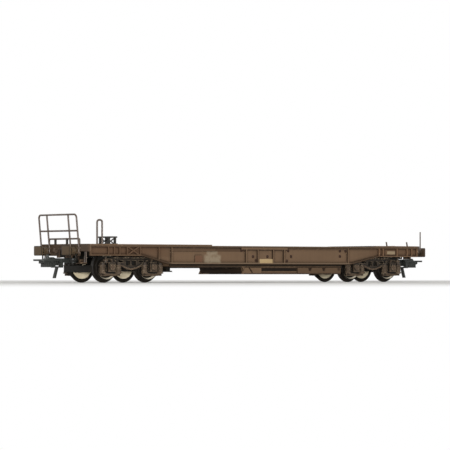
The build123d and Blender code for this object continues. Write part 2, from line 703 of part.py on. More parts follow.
# ---- bogies ------------------------------------------------------------------------------
PLATE_IN = 11.2                 # side frame plate, from the centre line
PLATE_OUT = 12.1
RIM_OUT = 12.6
BOX_OUT = 14.1
BOX_HALF = 1.6
FRAME_TOP = RAIL + 9.3
CHORD_LOW = RAIL + 4.1
CHORD_THICK = 0.6
SIDE_OUTLINE = [                # half of a side frame's edge, from the top middle outwards
    (0, FRAME_TOP),
    (8.5, FRAME_TOP),
    (12.6, RAIL + 8.3),
    (13.8, RAIL + 8.1),
    (15.2, RAIL + 6.2),
    (15.2, RAIL + 2.5),
    (13.6, RAIL + 1.7),
    (7.4, RAIL + 1.7),
    (6.2, RAIL + 2.6),
    (6.2, RAIL + 6.0),
    (2.2, RAIL + 4.5),
    (0, CHORD_LOW),
]
CHORD = [                       # the curved lower flange, half of it, from the middle outwards
    (0, CHORD_LOW),
    (2.2, RAIL + 4.5),
    (6.6, RAIL + 6.3),
    (8.0, RAIL + 7.6),
]
WINDOWS = [                     # holes through the plate: centre, half width, bottom, top
    (-1.5, 1.1, RAIL + 5.9, RAIL + 7.9),
    (1.5, 1.1, RAIL + 5.9, RAIL + 7.9),
    (-5.0, 1.2, RAIL + 7.1, RAIL + 7.9),
    (5.0, 1.2, RAIL + 7.1, RAIL + 7.9),
]
POT_DX = 3.9                    # spring pots stand this far each side of the axle
POT_R = 1.05
POT_Z = (RAIL + 2.7, RAIL + 7.0)
TRANSOM_HALF = 2.6
TRANSOM_Z = (RAIL + 6.2, RAIL + 8.4)
CENTRE_PLATE_R = 3.4


def bogie_side(pivot_x):
    """A near side frame: windowed plate, curved chord, spring pots, axleboxes, bearing bores."""
    place = Plane(origin=(pivot_x, 0, 0), x_dir=(1, 0, 0), z_dir=(0, -1, 0))
    chord_outer = [(x, z) for x, z in CHORD] + [(x, z + CHORD_THICK) for x, z in CHORD[::-1]]
    with BuildPart() as frame:
        with BuildSketch(place.offset(PLATE_IN)):
            Polygon(*SIDE_OUTLINE, align=None)
            mirror(about=Plane.YZ)
            for centre, half, low, high in WINDOWS:
                with Locations((centre, (low + high) / 2)):
                    Rectangle(2 * half, high - low, mode=Mode.SUBTRACT)
        extrude(amount=PLATE_OUT - PLATE_IN)
        with BuildSketch(place.offset(PLATE_IN)):
            Polygon(*chord_outer, align=None)
            mirror(about=Plane.YZ)
            with Locations((0, FRAME_TOP - 0.25)):
                Rectangle(17.0, 0.5)
            for dx in (-AXLE_DX, AXLE_DX):
                with Locations((dx, RAIL + 2.15)):
                    Rectangle(2 * POT_DX + 1.6, 0.8)
        extrude(amount=RIM_OUT - PLATE_IN)
        for dx in (-AXLE_DX, AXLE_DX):
            with BuildSketch(place.offset(PLATE_OUT)):
                with Locations((dx, AXLE_Z)):
                    Rectangle(2 * BOX_HALF, 3.8)
            extrude(amount=BOX_OUT - PLATE_OUT - 0.4)
            with BuildSketch(place.offset(BOX_OUT - 0.4)):
                with Locations((dx, AXLE_Z)):
                    RegularPolygon(1.3, 10)
            extrude(amount=0.4)
            with BuildSketch(Plane.XY.offset(POT_Z[0])):
                for pot in (-POT_DX, POT_DX):
                    with Locations((pivot_x + dx + pot, -PLATE_OUT - 0.35)):
                        RegularPolygon(POT_R, 8)
            extrude(amount=POT_Z[1] - POT_Z[0])
            with BuildSketch(place.offset(PLATE_IN)):
                with Locations((dx, AXLE_Z)):
                    Circle(AXLE_R + RUN_GAP)
            extrude(amount=AXLE_END + 0.1 - PLATE_IN, mode=Mode.SUBTRACT)
    return frame.part


def bogie_transom(pivot_x):
    """The cross beam with the centre plate and the pivot hole."""
    with BuildPart() as transom:
        with BuildSketch(Plane.XY.offset(TRANSOM_Z[0])):
            with Locations((pivot_x, 0)):
                Rectangle(2 * TRANSOM_HALF, 2 * PLATE_IN)
        extrude(amount=TRANSOM_Z[1] - TRANSOM_Z[0])
        with BuildSketch(Plane.XY.offset(TRANSOM_Z[1])):
            with Locations((pivot_x, 0)):
                RegularPolygon(CENTRE_PLATE_R, 24)
        extrude(amount=CENTRE_Z - TRANSOM_Z[1])
        with BuildSketch(Plane.XY.offset(TRANSOM_Z[0])):
            with Locations((pivot_x, 0)):
                Circle(PIVOT_R + RUN_GAP)
        extrude(amount=CENTRE_Z - TRANSOM_Z[0], mode=Mode.SUBTRACT)
    return transom.part


BAR_IN = 4.9                    # inner frame bars, from the centre line
BAR_OUT = 6.5
BAR_LOW = RAIL + 3.6
BAR_HALF = (8.9, 11.8)          # the gap over each axle, from the pivot
BAR_OUTLINE = [                 # an inner bar from the pivot to its outer end, seen from the side
    (0, BAR_LOW),
    (BAR_HALF[0], BAR_LOW),
    (BAR_HALF[0], RAIL + 6.4),
    (BAR_HALF[1], RAIL + 6.4),
    (BAR_HALF[1], BAR_LOW),
    (15.8, BAR_LOW),
    (15.8, RAIL + 5.9),
    (13.0, RAIL + 5.9),
    (12.4, RAIL + 8.0),
    (TRANSOM_HALF, RAIL + 8.0),
    (TRANSOM_HALF, TRANSOM_Z[0]),
    (0, TRANSOM_Z[0]),
]
END_BEAM_X = (15.8, 18.0)       # outer end of the bogie, from the pivot
END_BEAM_HALF = 9.0
END_BEAM_Z = (RAIL + 3.2, RAIL + 5.9)


def brake_rigging(pivot_x):
    """The inner bars, the end beam, and brake shoes on hangers from the transom's face."""
    shoe_in = TREAD_R + 0.45
    shoe_out = TREAD_R + 1.3
    outwards = 1 if pivot_x > 0 else -1
    place = Plane(origin=(pivot_x, 0, 0), x_dir=(1, 0, 0), z_dir=(0, -1, 0))
    with BuildPart() as rigging:
        for side in SIDES.values():
            with BuildSketch(place.offset(side * BAR_IN)):
                Polygon(*BAR_OUTLINE, align=None)
                mirror(about=Plane.YZ)
            extrude(amount=side * (BAR_OUT - BAR_IN))
            with BuildSketch(Plane.XY.offset(END_BEAM_Z[0])):
                Polygon(
                    (pivot_x + outwards * END_BEAM_X[0], side * BAR_IN),
                    (pivot_x + outwards * END_BEAM_X[1], side * BAR_IN),
                    (pivot_x + outwards * END_BEAM_X[1], side * BAR_OUT),
                    (pivot_x + outwards * END_BEAM_X[0], side * BAR_OUT),
                    align=None,
                )
            extrude(amount=END_BEAM_Z[1] - END_BEAM_Z[0])
        with BuildSketch(Plane.XY.offset(END_BEAM_Z[0])):
            with Locations((pivot_x + outwards * (END_BEAM_X[1] - 0.5), 0)):
                Rectangle(1.0, 2 * END_BEAM_HALF)
        extrude(amount=END_BEAM_Z[1] - END_BEAM_Z[0])
        for end in (-1, 1):
            shoe_x = pivot_x + end * (AXLE_DX - shoe_out)
            tread_x = pivot_x + end * (AXLE_DX - shoe_in)
            for side in SIDES.values():
                with BuildSketch(side_plane(-side * 9.9)):
                    Polygon(
                        (shoe_x, AXLE_Z - 1.6),
                        (tread_x + end * 0.25, AXLE_Z - 1.8),
                        (tread_x, AXLE_Z),
                        (tread_x + end * 0.25, AXLE_Z + 1.8),
                        (shoe_x, AXLE_Z + 1.6),
                        align=None,
                    )
                extrude(amount=side * 1.5)
                with BuildSketch(side_plane(-side * 9.6)):
                    Polygon(
                        (pivot_x + end * TRANSOM_HALF, TRANSOM_Z[0] + 0.2),
                        (pivot_x + end * TRANSOM_HALF, TRANSOM_Z[1] - 0.4),
                        (shoe_x + end * 0.2, AXLE_Z + 1.5),
                        (shoe_x + end * 0.2, AXLE_Z + 0.2),
                        align=None,
                    )
                extrude(amount=side * 0.9)
    return rigging.part


for end_name, end in ENDS.items():
    pivot_x = end * PIVOT_X
    save(bogie_transom(pivot_x), f"bogie_{end_name}_transom")
    save(brake_rigging(pivot_x), f"bogie_{end_name}_brakes")
    near_side = bogie_side(pivot_x)
    for side_name, side in SIDES.items():
        save(to_side(near_side, side), f"bogie_{end_name}_side_{side_name}")

# ---- wheelsets ---------------------------------------------------------------------------
WHEELSETS = {                   # name: axle position along the wagon
    "1": -PIVOT_X - AXLE_DX,
    "2": -PIVOT_X + AXLE_DX,
    "3": PIVOT_X - AXLE_DX,
    "4": PIVOT_X + AXLE_DX,
}
WHEEL_SIDES = 36                # the treads are many-sided, to keep their facets few
FLANGE_WIDE = 0.8
TREAD_TAPER = 3.0               # degrees
DISH_R = 4.35
DISH_DEEP = 0.9
HUB_R = 1.75


def wheel_pair(axle_x):
    """Both wheels of a set: coned tread, chamfered flange, dished face and hub."""
    with BuildPart() as pair:
        with BuildSketch(Plane(origin=(axle_x, -WHEEL_BACK, AXLE_Z), z_dir=(0, -1, 0))):
            RegularPolygon(FLANGE_R, WHEEL_SIDES)
        extrude(amount=FLANGE_WIDE)
        chamfer(pair.faces().sort_by(Axis.Y)[0].edges(), 0.3)
        with BuildSketch(Plane(origin=(axle_x, -WHEEL_BACK, AXLE_Z), z_dir=(0, -1, 0))):
            RegularPolygon(TREAD_R + 0.1, WHEEL_SIDES)
        extrude(amount=WHEEL_FRONT - WHEEL_BACK, taper=TREAD_TAPER)
        with BuildSketch(Plane(origin=(axle_x, -WHEEL_FRONT, AXLE_Z), z_dir=(0, -1, 0))):
            RegularPolygon(DISH_R, WHEEL_SIDES // 2)
            RegularPolygon(HUB_R, 12, mode=Mode.SUBTRACT)
        extrude(amount=-DISH_DEEP, mode=Mode.SUBTRACT)
        with BuildSketch(Plane(origin=(axle_x, -WHEEL_BACK, AXLE_Z), z_dir=(0, -1, 0))):
            RegularPolygon(AXLE_R, 12, major_radius=False)
        extrude(amount=WHEEL_FRONT - WHEEL_BACK, mode=Mode.SUBTRACT)
        mirror(about=Plane.XZ)
    return pair.part


def axle(axle_x):
    """A plain round axle."""
    with BuildPart() as shaft:
        with BuildSketch(side_plane(-AXLE_END)):
            with Locations((axle_x, AXLE_Z)):
                Circle(AXLE_R)
        extrude(amount=2 * AXLE_END)
    return shaft.part


for set_name, axle_x in WHEELSETS.items():
    save(axle(axle_x), f"axle_{set_name}")
    save(wheel_pair(axle_x), f"wheels_{set_name}")
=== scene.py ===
"""Dresses the H0 pocket wagon: finishes, turned wheels, wire work, springs, rivets and tread plate."""

import json
import math

import bmesh
import bpy
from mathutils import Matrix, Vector


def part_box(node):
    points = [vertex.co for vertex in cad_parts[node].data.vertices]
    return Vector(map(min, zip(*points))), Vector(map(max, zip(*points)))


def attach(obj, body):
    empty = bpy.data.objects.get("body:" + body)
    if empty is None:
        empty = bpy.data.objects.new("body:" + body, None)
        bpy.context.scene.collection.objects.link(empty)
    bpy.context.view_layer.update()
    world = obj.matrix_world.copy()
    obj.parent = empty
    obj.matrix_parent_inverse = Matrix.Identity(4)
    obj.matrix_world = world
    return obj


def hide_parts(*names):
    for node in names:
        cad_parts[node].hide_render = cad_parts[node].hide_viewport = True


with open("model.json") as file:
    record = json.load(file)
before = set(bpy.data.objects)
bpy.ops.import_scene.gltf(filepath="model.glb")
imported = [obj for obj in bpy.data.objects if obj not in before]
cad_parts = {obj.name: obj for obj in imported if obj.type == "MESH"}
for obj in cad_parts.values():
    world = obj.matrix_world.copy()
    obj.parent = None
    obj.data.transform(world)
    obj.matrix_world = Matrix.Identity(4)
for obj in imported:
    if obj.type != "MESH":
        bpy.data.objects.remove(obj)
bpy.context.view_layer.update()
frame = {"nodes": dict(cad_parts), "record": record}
NODES = frame["nodes"]
SLOT_OF = {part["node"]: part["material_slot"] for part in frame["record"]["subparts"]}
MATERIALS = {}                  # the finishes by name, filled in below

# Sizes and places are in millimetres, and in metres in the shaders. Heights are over the rail.
MM = 0.001
RAIL_TOP = 1.0                  # rail head above the flange tips
PIVOT_X = 64.4                  # pins of the bogies
AXLE_DX = 10.37                 # axles from the pin of their bogie
AXLE_HIGH = 5.3
WEB_Y = 15.5                    # outer faces of the sills' webs
FLANGE_Y = 16.0                 # outer edges of the sills' flanges
DECK_HIGH = 14.45               # upper faces of the end platforms
DECK_LOW = 14.0                 # upper faces of the decks between bogies and pocket
SUNK_IN = 0.05                  # how deep plates, kerbs and lids sit in what they lie on
BOTH = (-1, 1)
SIDES = {"near": -1, "far": 1}
ENDS = {"a": -1, "b": 1}
UP = Vector((0, 0, 1))

# ---- small helpers -----------------------------------------------------------------------


def mm(*values):
    """A point given in millimetres, as a vector in metres."""
    return Vector(values) * MM


def over_rail(x, y, z):
    """A point in millimetres with its height over the rail, as a vector in metres."""
    return mm(x, y, RAIL_TOP + z)


def paint(red, green, blue):
    """Linear colour of a paint given as display values from 0 to 255."""
    def linear(value):
        value = value / 255
        return value / 12.92 if value <= 0.04045 else ((value + 0.055) / 1.055) ** 2.4
    return (linear(red), linear(green), linear(blue), 1.0)


def link(name, data):
    """An object in the scene for a mesh, curve, lamp or camera."""
    made = bpy.data.objects.new(name, data)
    bpy.context.scene.collection.objects.link(made)
    return made


def as_object(name, mesh, finishes, smooth=True):
    """A linked object for a finished mesh, with its finishes."""
    piece = link(name, mesh)
    for material in (MATERIALS[finish] for finish in finishes):
        if material.name not in [kept.name for kept in mesh.materials if kept]:
            mesh.materials.append(material)
    mesh.polygons.foreach_set("use_smooth", [smooth] * len(mesh.polygons))
    return piece


def from_bmesh(name, bm, *finishes, smooth=True):
    """Turns a bmesh into a linked object, with its normals pointing outwards."""
    bmesh.ops.recalc_face_normals(bm, faces=bm.faces)
    mesh = bpy.data.meshes.new(name)
    bm.to_mesh(mesh)
    bm.free()
    return as_object(name, mesh, finishes, smooth)


def flat_faced(name, bm, finish):
    """Turns a bmesh of flat faces into a linked object."""
    return from_bmesh(name, bm, finish, smooth=False)


def soften(piece, angle=math.radians(35)):
    """Keeps edges sharper than the angle crisp under smooth shading."""
    piece.data.set_sharp_from_angle(angle=angle)
    return piece


def evaluated_mesh(source, name):
    """A plain mesh of an object with its modifiers or its curve worked out. The object is removed."""
    view = bpy.context.evaluated_depsgraph_get()
    mesh = bpy.data.meshes.new_from_object(source.evaluated_get(view))
    source.modifiers.clear()
    bpy.data.objects.remove(source)
    mesh.name = name
    return mesh


def seat(piece, slot, *replaced, body="underframe"):
    """Rides a piece on its body and hides the CAD nodes that it stands for. Its slot is not used."""
    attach(piece, body)
    if replaced:
        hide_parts(*replaced)


# ---- shader building blocks --------------------------------------------------------------
NUMBER = "NodeSocketFloat"


def put(tree, socket, value):
    """Links a socket to an input, or sets the input to a plain value."""
    if isinstance(value, bpy.types.NodeSocket):
        tree.links.new(value, socket)
    else:
        socket.default_value = value


def add(tree, kind, settings=None, **inputs):
    """Adds a node, sets its properties and fills its named inputs (under_scores stand for spaces)."""
    made = tree.nodes.new(kind)
    for key, value in (settings or {}).items():
        setattr(made, key, value)
    for key, value in inputs.items():
        put(tree, made.inputs[key.replace("_", " ")], value)
    return made


def fill(tree, made, *values):
    """Fills a node's first inputs in turn."""
    for socket, value in zip(made.inputs, values):
        put(tree, socket, value)
    return made.outputs


def calc(tree, operation, *values, clamp=False):
    """A math node's result."""
    made = add(tree, "ShaderNodeMath", {"operation": operation, "use_clamp": clamp})
    return fill(tree, made, *values)[0]


def times(tree, first, second):
    """The product of two values."""
    return calc(tree, "MULTIPLY", first, second)


def blend(tree, factor, first, second):
    """A colour between two colours."""
    made = add(tree, "ShaderNodeMix", {"data_type": "RGBA"})
    for number, value in ((0, factor), (6, first), (7, second)):
        put(tree, made.inputs[number], value)
    return made.outputs[2]


def span(tree, value, low, high, start=0.0, end=1.0):
    """Maps a value between low and high to between start and end, and no further."""
    made = add(tree, "ShaderNodeMapRange", From_Min=low, From_Max=high, To_Min=start, To_Max=end)
    return fill(tree, made, value)[0]


MIDDLE = (0.3, 0.7)             # most of a noise lies between these


def noise(tree, vector, scale, detail=3.0, roughness=0.55):
    """Noise between 0 and 1 at so many waves a metre."""
    made = add(tree, "ShaderNodeTexNoise", Vector=vector, Scale=scale, Detail=detail, Roughness=roughness)
    return made.outputs[0]


def object_place(tree):
    """Object coordinates, which a piece keeps at every pose."""
    return add(tree, "ShaderNodeTexCoord").outputs["Object"]


def split(tree, vector):
    """The x, y and z of a vector."""
    return add(tree, "ShaderNodeSeparateXYZ", Vector=vector).outputs


def new_group(name, inputs, *outputs):
    """A shader node group with named number inputs (name: default) and outputs."""
    tree = bpy.data.node_groups.new(name, "ShaderNodeTree")
    for label, value in inputs.items():
        tree.interface.new_socket(label, in_out="INPUT", socket_type=NUMBER).default_value = value
    for label in outputs:
        tree.interface.new_socket(label, in_out="OUTPUT", socket_type=NUMBER)
    return tree, tree.nodes.new("NodeGroupInput").outputs, tree.nodes.new("NodeGroupOutput").inputs


def use_group(tree, group, **inputs):
    """Places a group with its own values and gives its outputs."""
    return add(tree, "ShaderNodeGroup", {"node_tree": group}, **inputs).outputs


STREAK_STRETCH = (900.0, 900.0, 60.0)           # waves a metre along x, y and z: streaks run down


def make_grain_group():
    """Fine moulding grain, and a slow mottling of the shade."""
    tree, given, out = new_group(
        "moulded_grain", {"Grain": 9000.0, "Mottle": 160.0, "Streak": 0.0}, "Shade", "Height",
    )
    place = object_place(tree)
    mottle = noise(tree, place, given["Mottle"], 4.0, 0.6)
    stretched = add(tree, "ShaderNodeMapping", Vector=place, Scale=STREAK_STRETCH).outputs[0]
    streaks = noise(tree, stretched, 1.0, 2.0)
    shade = add(tree, "ShaderNodeMix", {"data_type": "FLOAT"}, A=mottle, B=streaks)
    put(tree, out["Shade"], fill(tree, shade, given["Streak"])[0])
    put(tree, out["Height"], noise(tree, place, given["Grain"], 2.0))
    return tree


def make_crevice_group():
    """A mask of corners where paint and grime gather and shade falls, for painted shade there."""
    tree, given, out = new_group("crevice", {"Reach": 0.001, "Grip": 0.7}, "Mask")
    settings = {"samples": 8, "only_local": True}
    near = add(tree, "ShaderNodeAmbientOcclusion", settings, Distance=given["Reach"])
    put(tree, out["Mask"], span(tree, near.outputs["AO"], given["Grip"], 1.0, 1.0, 0.0))
    return tree


def make_edge_group():
    """A broken mask along outer edges, where the finish is rubbed and a painted highlight lies."""
    tree, given, out = new_group("edge_wear_and_highlight", {"Width": 0.0002, "Broken": 700.0}, "Mask")
    rounded_normal = add(tree, "ShaderNodeBevel", {"samples": 4}, Radius=given["Width"]).outputs[0]
    true_normal = add(tree, "ShaderNodeNewGeometry").outputs["True Normal"]
    agree = add(tree, "ShaderNodeVectorMath", {"operation": "DOT_PRODUCT"})
    edge = span(tree, fill(tree, agree, rounded_normal, true_normal)["Value"], 0.985, 0.8)
    patches = span(tree, noise(tree, object_place(tree), given["Broken"]), 0.38, 0.62)
    put(tree, out["Mask"], times(tree, edge, patches))
    return tree


def make_dust_group():
    """Dust that settles on what faces up and is thrown up from the track."""
    inputs = {"Top": 0.010, "Settled": 0.5, "Thrown": 0.5, "Patch": 400.0}
    tree, given, out = new_group("settled_dust", inputs, "Mask")
    place = object_place(tree)
    facing = split(tree, add(tree, "ShaderNodeNewGeometry").outputs["Normal"])
    settled = times(tree, span(tree, facing["Z"], 0.3, 1.0), given["Settled"])
    thrown = times(tree, span(tree, split(tree, place)["Z"], given["Top"], 0.0), given["Thrown"])
    patches = span(tree, noise(tree, place, given["Patch"], 5.0, 0.65), 0.35, 0.75)
    both = calc(tree, "ADD", settled, thrown)
    put(tree, out["Mask"], calc(tree, "MULTIPLY", both, patches, clamp=True))
    return tree


def make_zone_group():
    """A mask of one zone of the wagon, between limits along it, out from its middle and up."""
    inputs = {}
    for axis in ("X", "Side", "Z"):
        inputs[f"{axis} Low"] = -1.0
        inputs[f"{axis} High"] = 1.0
    tree, given, out = new_group("zone", {**inputs, "Soft": 0.00006}, "Mask")
    x, y, z = split(tree, object_place(tree))
    mask = 1.0
    for axis, value in (("X", x), ("Side", calc(tree, "ABSOLUTE", y)), ("Z", z)):
        for limit, sign in (("Low", 1.0), ("High", -1.0)):
            past = times(tree, calc(tree, "SUBTRACT", value, given[f"{axis} {limit}"]), sign)
            within = calc(tree, "DIVIDE", calc(tree, "ADD", past, given["Soft"]), given["Soft"])
            mask = times(tree, mask, calc(tree, "MULTIPLY", within, 0.5, clamp=True))
    put(tree, out["Mask"], mask)
    return tree


GRAIN = make_grain_group()
CREVICE = make_crevice_group()
EDGE = make_edge_group()
DUST = make_dust_group()
ZONE = make_zone_group()

# ---- finishes ----------------------------------------------------------------------------
EARTH = paint(146, 128, 104)    # dust off the track
MOTTLED = 0.86                  # the darker shade of a mottled finish
GRAIN_BUMP = (0.25, 0.00004)    # strength, and depth in metres
RING_BUMP = (0.2, 0.00002)
RADIUS_KEPT = "turning_radius"                  # a turned mesh keeps each point's radius


def new_material(name):
    """A material with its node tree and Principled shader."""
    material = bpy.data.materials.new(name)
    material.use_nodes = True
    MATERIALS[name] = material
    return material.node_tree, material.node_tree.nodes["Principled BSDF"]


def bump(tree, shader, height, strength, distance):
    """Raises the surface by a height."""
    made = add(tree, "ShaderNodeBump", Height=height, Strength=strength, Distance=distance)
    put(tree, shader.inputs["Normal"], made.outputs[0])


def tint_zones(tree, tint, zones):
    """Lays the colour of each zone over the tint."""
    for strength, shade, soft, limits in zones:
        inputs = {"Soft": soft * MM}
        for axis, (low, high) in limits.items():
            inputs[f"{axis} Low"], inputs[f"{axis} High"] = low * MM, high * MM
        mask = use_group(tree, ZONE, **inputs)["Mask"]
        tint = blend(tree, times(tree, mask, strength), tint, shade)
    return tint


def flaked(tree, strength):
    """A strength that breaks up where paint flakes off."""
    return span(tree, noise(tree, object_place(tree), 700.0, 4.0), 0.3, 0.5, 0.35, strength)


def moulded(
    name, colour, crevice, wear_and_highlight, rough=0.55, streak=0.0, corner_shade_and_dirt=0.8, reach=1.0, rub_and_highlight=0.5, dusty=0.3,
    gloss=0.5, zones=(), touches=(), patches=(),
):
    """Painted or through-coloured plastic: grain, grime and painted shade in corners, rubbed edges with
    painted highlight, dust.
    """
    tree, shader = new_material(name)
    colour, crevice, wear_and_highlight = paint(*colour), paint(*crevice), paint(*wear_and_highlight)
    grain = use_group(tree, GRAIN, Streak=streak)
    darker = tuple(MOTTLED * channel for channel in colour[:3]) + (1.0,)
    tint = blend(tree, span(tree, grain["Shade"], *MIDDLE), darker, colour)
    tint = tint_zones(tree, tint, zones)
    # painted shade and grime in the corners
    corner = use_group(tree, CREVICE, Reach=reach * MM)["Mask"]
    tint = blend(tree, times(tree, corner, corner_shade_and_dirt), tint, crevice)
    # rubbed edges, with painted highlight
    tint = blend(tree, times(tree, use_group(tree, EDGE)["Mask"], rub_and_highlight), tint, wear_and_highlight)
    tint = tint_zones(tree, tint, touches)
    tint = tint_zones(tree, tint, [(flaked(tree, strength), *rest) for strength, *rest in patches])
    film = times(tree, use_group(tree, DUST)["Mask"], dusty)
    put(tree, shader.inputs["Base Color"], blend(tree, film, tint, EARTH))
    matt = calc(tree, "ADD", span(tree, grain["Shade"], *MIDDLE, rough - 0.06, rough + 0.06), film)
    put(tree, shader.inputs["Roughness"], calc(tree, "MINIMUM", matt, 1.0))
    shader.inputs["Specular IOR Level"].default_value = gloss
    bump(tree, shader, grain["Height"], *GRAIN_BUMP)


def turned_metal(name, colour, dark, rough, metallic):
    """Bright turned metal with tool rings that follow the radius kept in the mesh."""
    tree, shader = new_material(name)
    colour, dark = paint(*colour), paint(*dark)
    radius = add(tree, "ShaderNodeAttribute", {"attribute_name": RADIUS_KEPT}).outputs["Fac"]
    rings = noise(tree, add(tree, "ShaderNodeCombineXYZ", X=radius).outputs[0], 9000.0, 2.0)
    tarnish = span(tree, noise(tree, object_place(tree), 320.0, 4.0), 0.35, 0.75)
    # painted shade in the corners of the turned metal
    corner = use_group(tree, CREVICE, Reach=0.0008)["Mask"]
    tint = blend(tree, times(tree, tarnish, 0.35), colour, dark)
    put(tree, shader.inputs["Base Color"], blend(tree, times(tree, corner, 0.6), tint, dark))
    put(tree, shader.inputs["Roughness"], span(tree, rings, *MIDDLE, rough - 0.08, rough + 0.08))
    shader.inputs["Metallic"].default_value = metallic
    bump(tree, shader, rings, *RING_BUMP)


def zone(strength, shade, x=None, side=None, z=None, soft=0.06):
    """A zone of a finish: strength, colour, soft edge, and its limits in millimetres."""
    heights = z and (RAIL_TOP + z[0], RAIL_TOP + z[1])
    limits = {"X": x, "Side": side, "Z": heights}
    return strength, paint(*shade), soft, {axis: pair for axis, pair in limits.items() if pair}


SHADOW = (34, 26, 18)           # painted shade in recesses
SILL = (15.3, 16.3)             # how far out from the middle each of these lies
WEB = (15.3, 15.65)
LIP = (15.2, 16.3)
TAPER_EDGE = (15.93, 16.1)
WALL = (14.1, 15.2)
WALL_FACE = (14.4, 15.2)
INSIDE = (-1.0, 14.6)
HEADSTOCK = (-1.0, 15.4)
NOTCH_X = (27.0, 34.6, 43.0)    # notches in the lower wall
POCKET_X = (-48.0, 48.0)        # how far along the wagon the pocket and the lower lip run
LIP_X = (-54.0, 54.0)
BODY_ZONES = (
    # edge of the top flange, a painted shadow on the web below it, and a hatch
    zone(0.85, (78, 63, 49), side=(15.7, 17.0), z=(13.35, 14.1)),
    zone(0.8, (72, 55, 41), x=(-45.6, -8.4), side=(15.3, 15.7), z=(11.6, 13.4), soft=0.12),
    zone(0.5, (92, 60, 45), x=(-34.5, -30.9), side=(15.6, 15.85), z=(7.2, 10.0)),
    # painted shadow under the top flange, further along
    zone(0.8, (76, 58, 43), x=(-8.0, 12.0), side=WEB, z=(12.6, 13.4)),
    # both ends of the sills
    zone(0.75, (76, 58, 43), x=(-90.0, -47.0), side=SILL, z=(9.0, 13.4), soft=0.8),
    zone(0.5, (80, 62, 45), x=(52.0, 90.0), side=SILL, z=(9.0, 13.4), soft=2.0),
    # painted shade inside the notches, and painted shadow on the wall below the sill
    zone(1.0, (14, 9, 6), x=(-8.0, 45.0), side=(14.1, 14.5), z=(2.0, 5.6)),
    zone(0.9, SHADOW, x=(20.3, 45.0), side=(14.5, 14.7), z=(2.0, 5.1)),
    zone(0.3, SHADOW, x=POCKET_X, side=WALL, z=(5.1, 5.8)),
    zone(0.95, (14, 10, 6), x=POCKET_X, side=WALL, z=(5.75, 6.6)),
    # corner steps, and painted shade on all below the decks
    zone(0.75, (62, 51, 41), x=(-90.0, -80.0), side=(11.0, 16.5), z=(5.0, 9.7)),
    zone(0.9, SHADOW, x=(-89.0, -47.5), side=INSIDE, z=(0.0, 13.2)),
    zone(0.9, SHADOW, x=(48.0, 89.0), side=INSIDE, z=(0.0, 13.2)),
    # painted shade below the front floor, then the wall with the notches, and the headstocks
    zone(0.95, (36, 27, 19), x=(-48.0, -7.4), side=(-1.0, 14.0), z=(1.0, 5.6)),
    zone(0.95, (28, 21, 15), x=(-48.0, -9.6), side=(14.0, 15.2), z=(1.0, 5.6)),
    zone(0.6, (74, 58, 43), x=(20.3, 45.0), side=WALL_FACE, z=(2.0, 5.2)),
    zone(0.85, (60, 49, 39), x=(-92.0, -86.9), side=HEADSTOCK, z=(8.0, 14.5)),
    zone(0.75, (66, 54, 43), x=(86.9, 92.0), side=HEADSTOCK, z=(8.0, 14.5)),
)
# painted shade round each notch in the lower wall
NOTCH_SHADE = [
    zone(0.85, (28, 16, 10), x=(x - 0.7, x + 0.7), side=WALL_FACE, z=(3.9, 5.3), soft=0.4)
    for x in NOTCH_X
]
BODY_TOUCHES = (                # laid over the painted shade in corners and the rubbed, highlit edges
    # foot of the wall, painted shade at the notches and the headstock's corner, painted highlight on the
    # ribs
    zone(0.75, (44, 33, 24), x=(-8.6, 45.0), side=WALL_FACE, z=(2.2, 2.9)),
    *NOTCH_SHADE,
    zone(0.8, (50, 38, 27), x=(-90.4, -87.2), side=(13.3, 16.3), z=(9.0, 14.6)),
    zone(0.5, (136, 104, 78), x=(62.0, 86.8), side=(15.82, 15.97), z=(10.2, 13.3), soft=0.03),
    # painted highlight on the sills' lower lip, painted shadow on the line below it and on the tapers' edges
    zone(0.8, (112, 94, 76), x=LIP_X, side=LIP, z=(6.68, 7.15)),
    zone(0.95, (26, 18, 12), x=LIP_X, side=LIP, z=(6.3, 6.6)),
    zone(0.75, (50, 38, 27), x=(-62.0, -46.8), side=TAPER_EDGE, z=(6.3, 10.4), soft=0.03),
    zone(0.75, (58, 44, 31), x=(48.0, 65.5), side=TAPER_EDGE, z=(6.3, 10.4), soft=0.03),
)
FADED_PATCHES = (               # a faded grey patch in two steps, and rusty ends of the sills
    zone(0.9, (158, 148, 126), x=(-29.6, -21.2), side=WEB, z=(6.97, 10.15), soft=0.5),
    zone(0.9, (158, 148, 126), x=(-28.4, -22.9), side=WEB, z=(10.2, 11.6), soft=0.5),
    zone(0.6, (78, 50, 34), x=(-87.0, -50.0), side=SILL, z=(10.4, 13.4), soft=1.5),
    zone(0.6, (84, 57, 39), x=(60.0, 87.0), side=SILL, z=(10.4, 13.4), soft=1.5),
)
BOGIE_ZONES = (                 # painted shade on the frame's top, above the axleboxes, on its face, and all inside it
    zone(0.85, (30, 25, 19), side=(-1.0, 15.0), z=(8.5, 10.0), soft=0.25),
    zone(0.75, (30, 25, 20), side=(12.2, 14.2), z=(6.1, 7.8), soft=0.3),
    zone(0.85, (46, 39, 31), side=(11.9, 12.3), soft=0.1),
    zone(0.95, (22, 19, 16), side=(-1.0, 11.9), soft=0.1),
)
BUFFER_ZONES = (zone(0.8, (68, 55, 44), x=(88.0, 96.0)),)
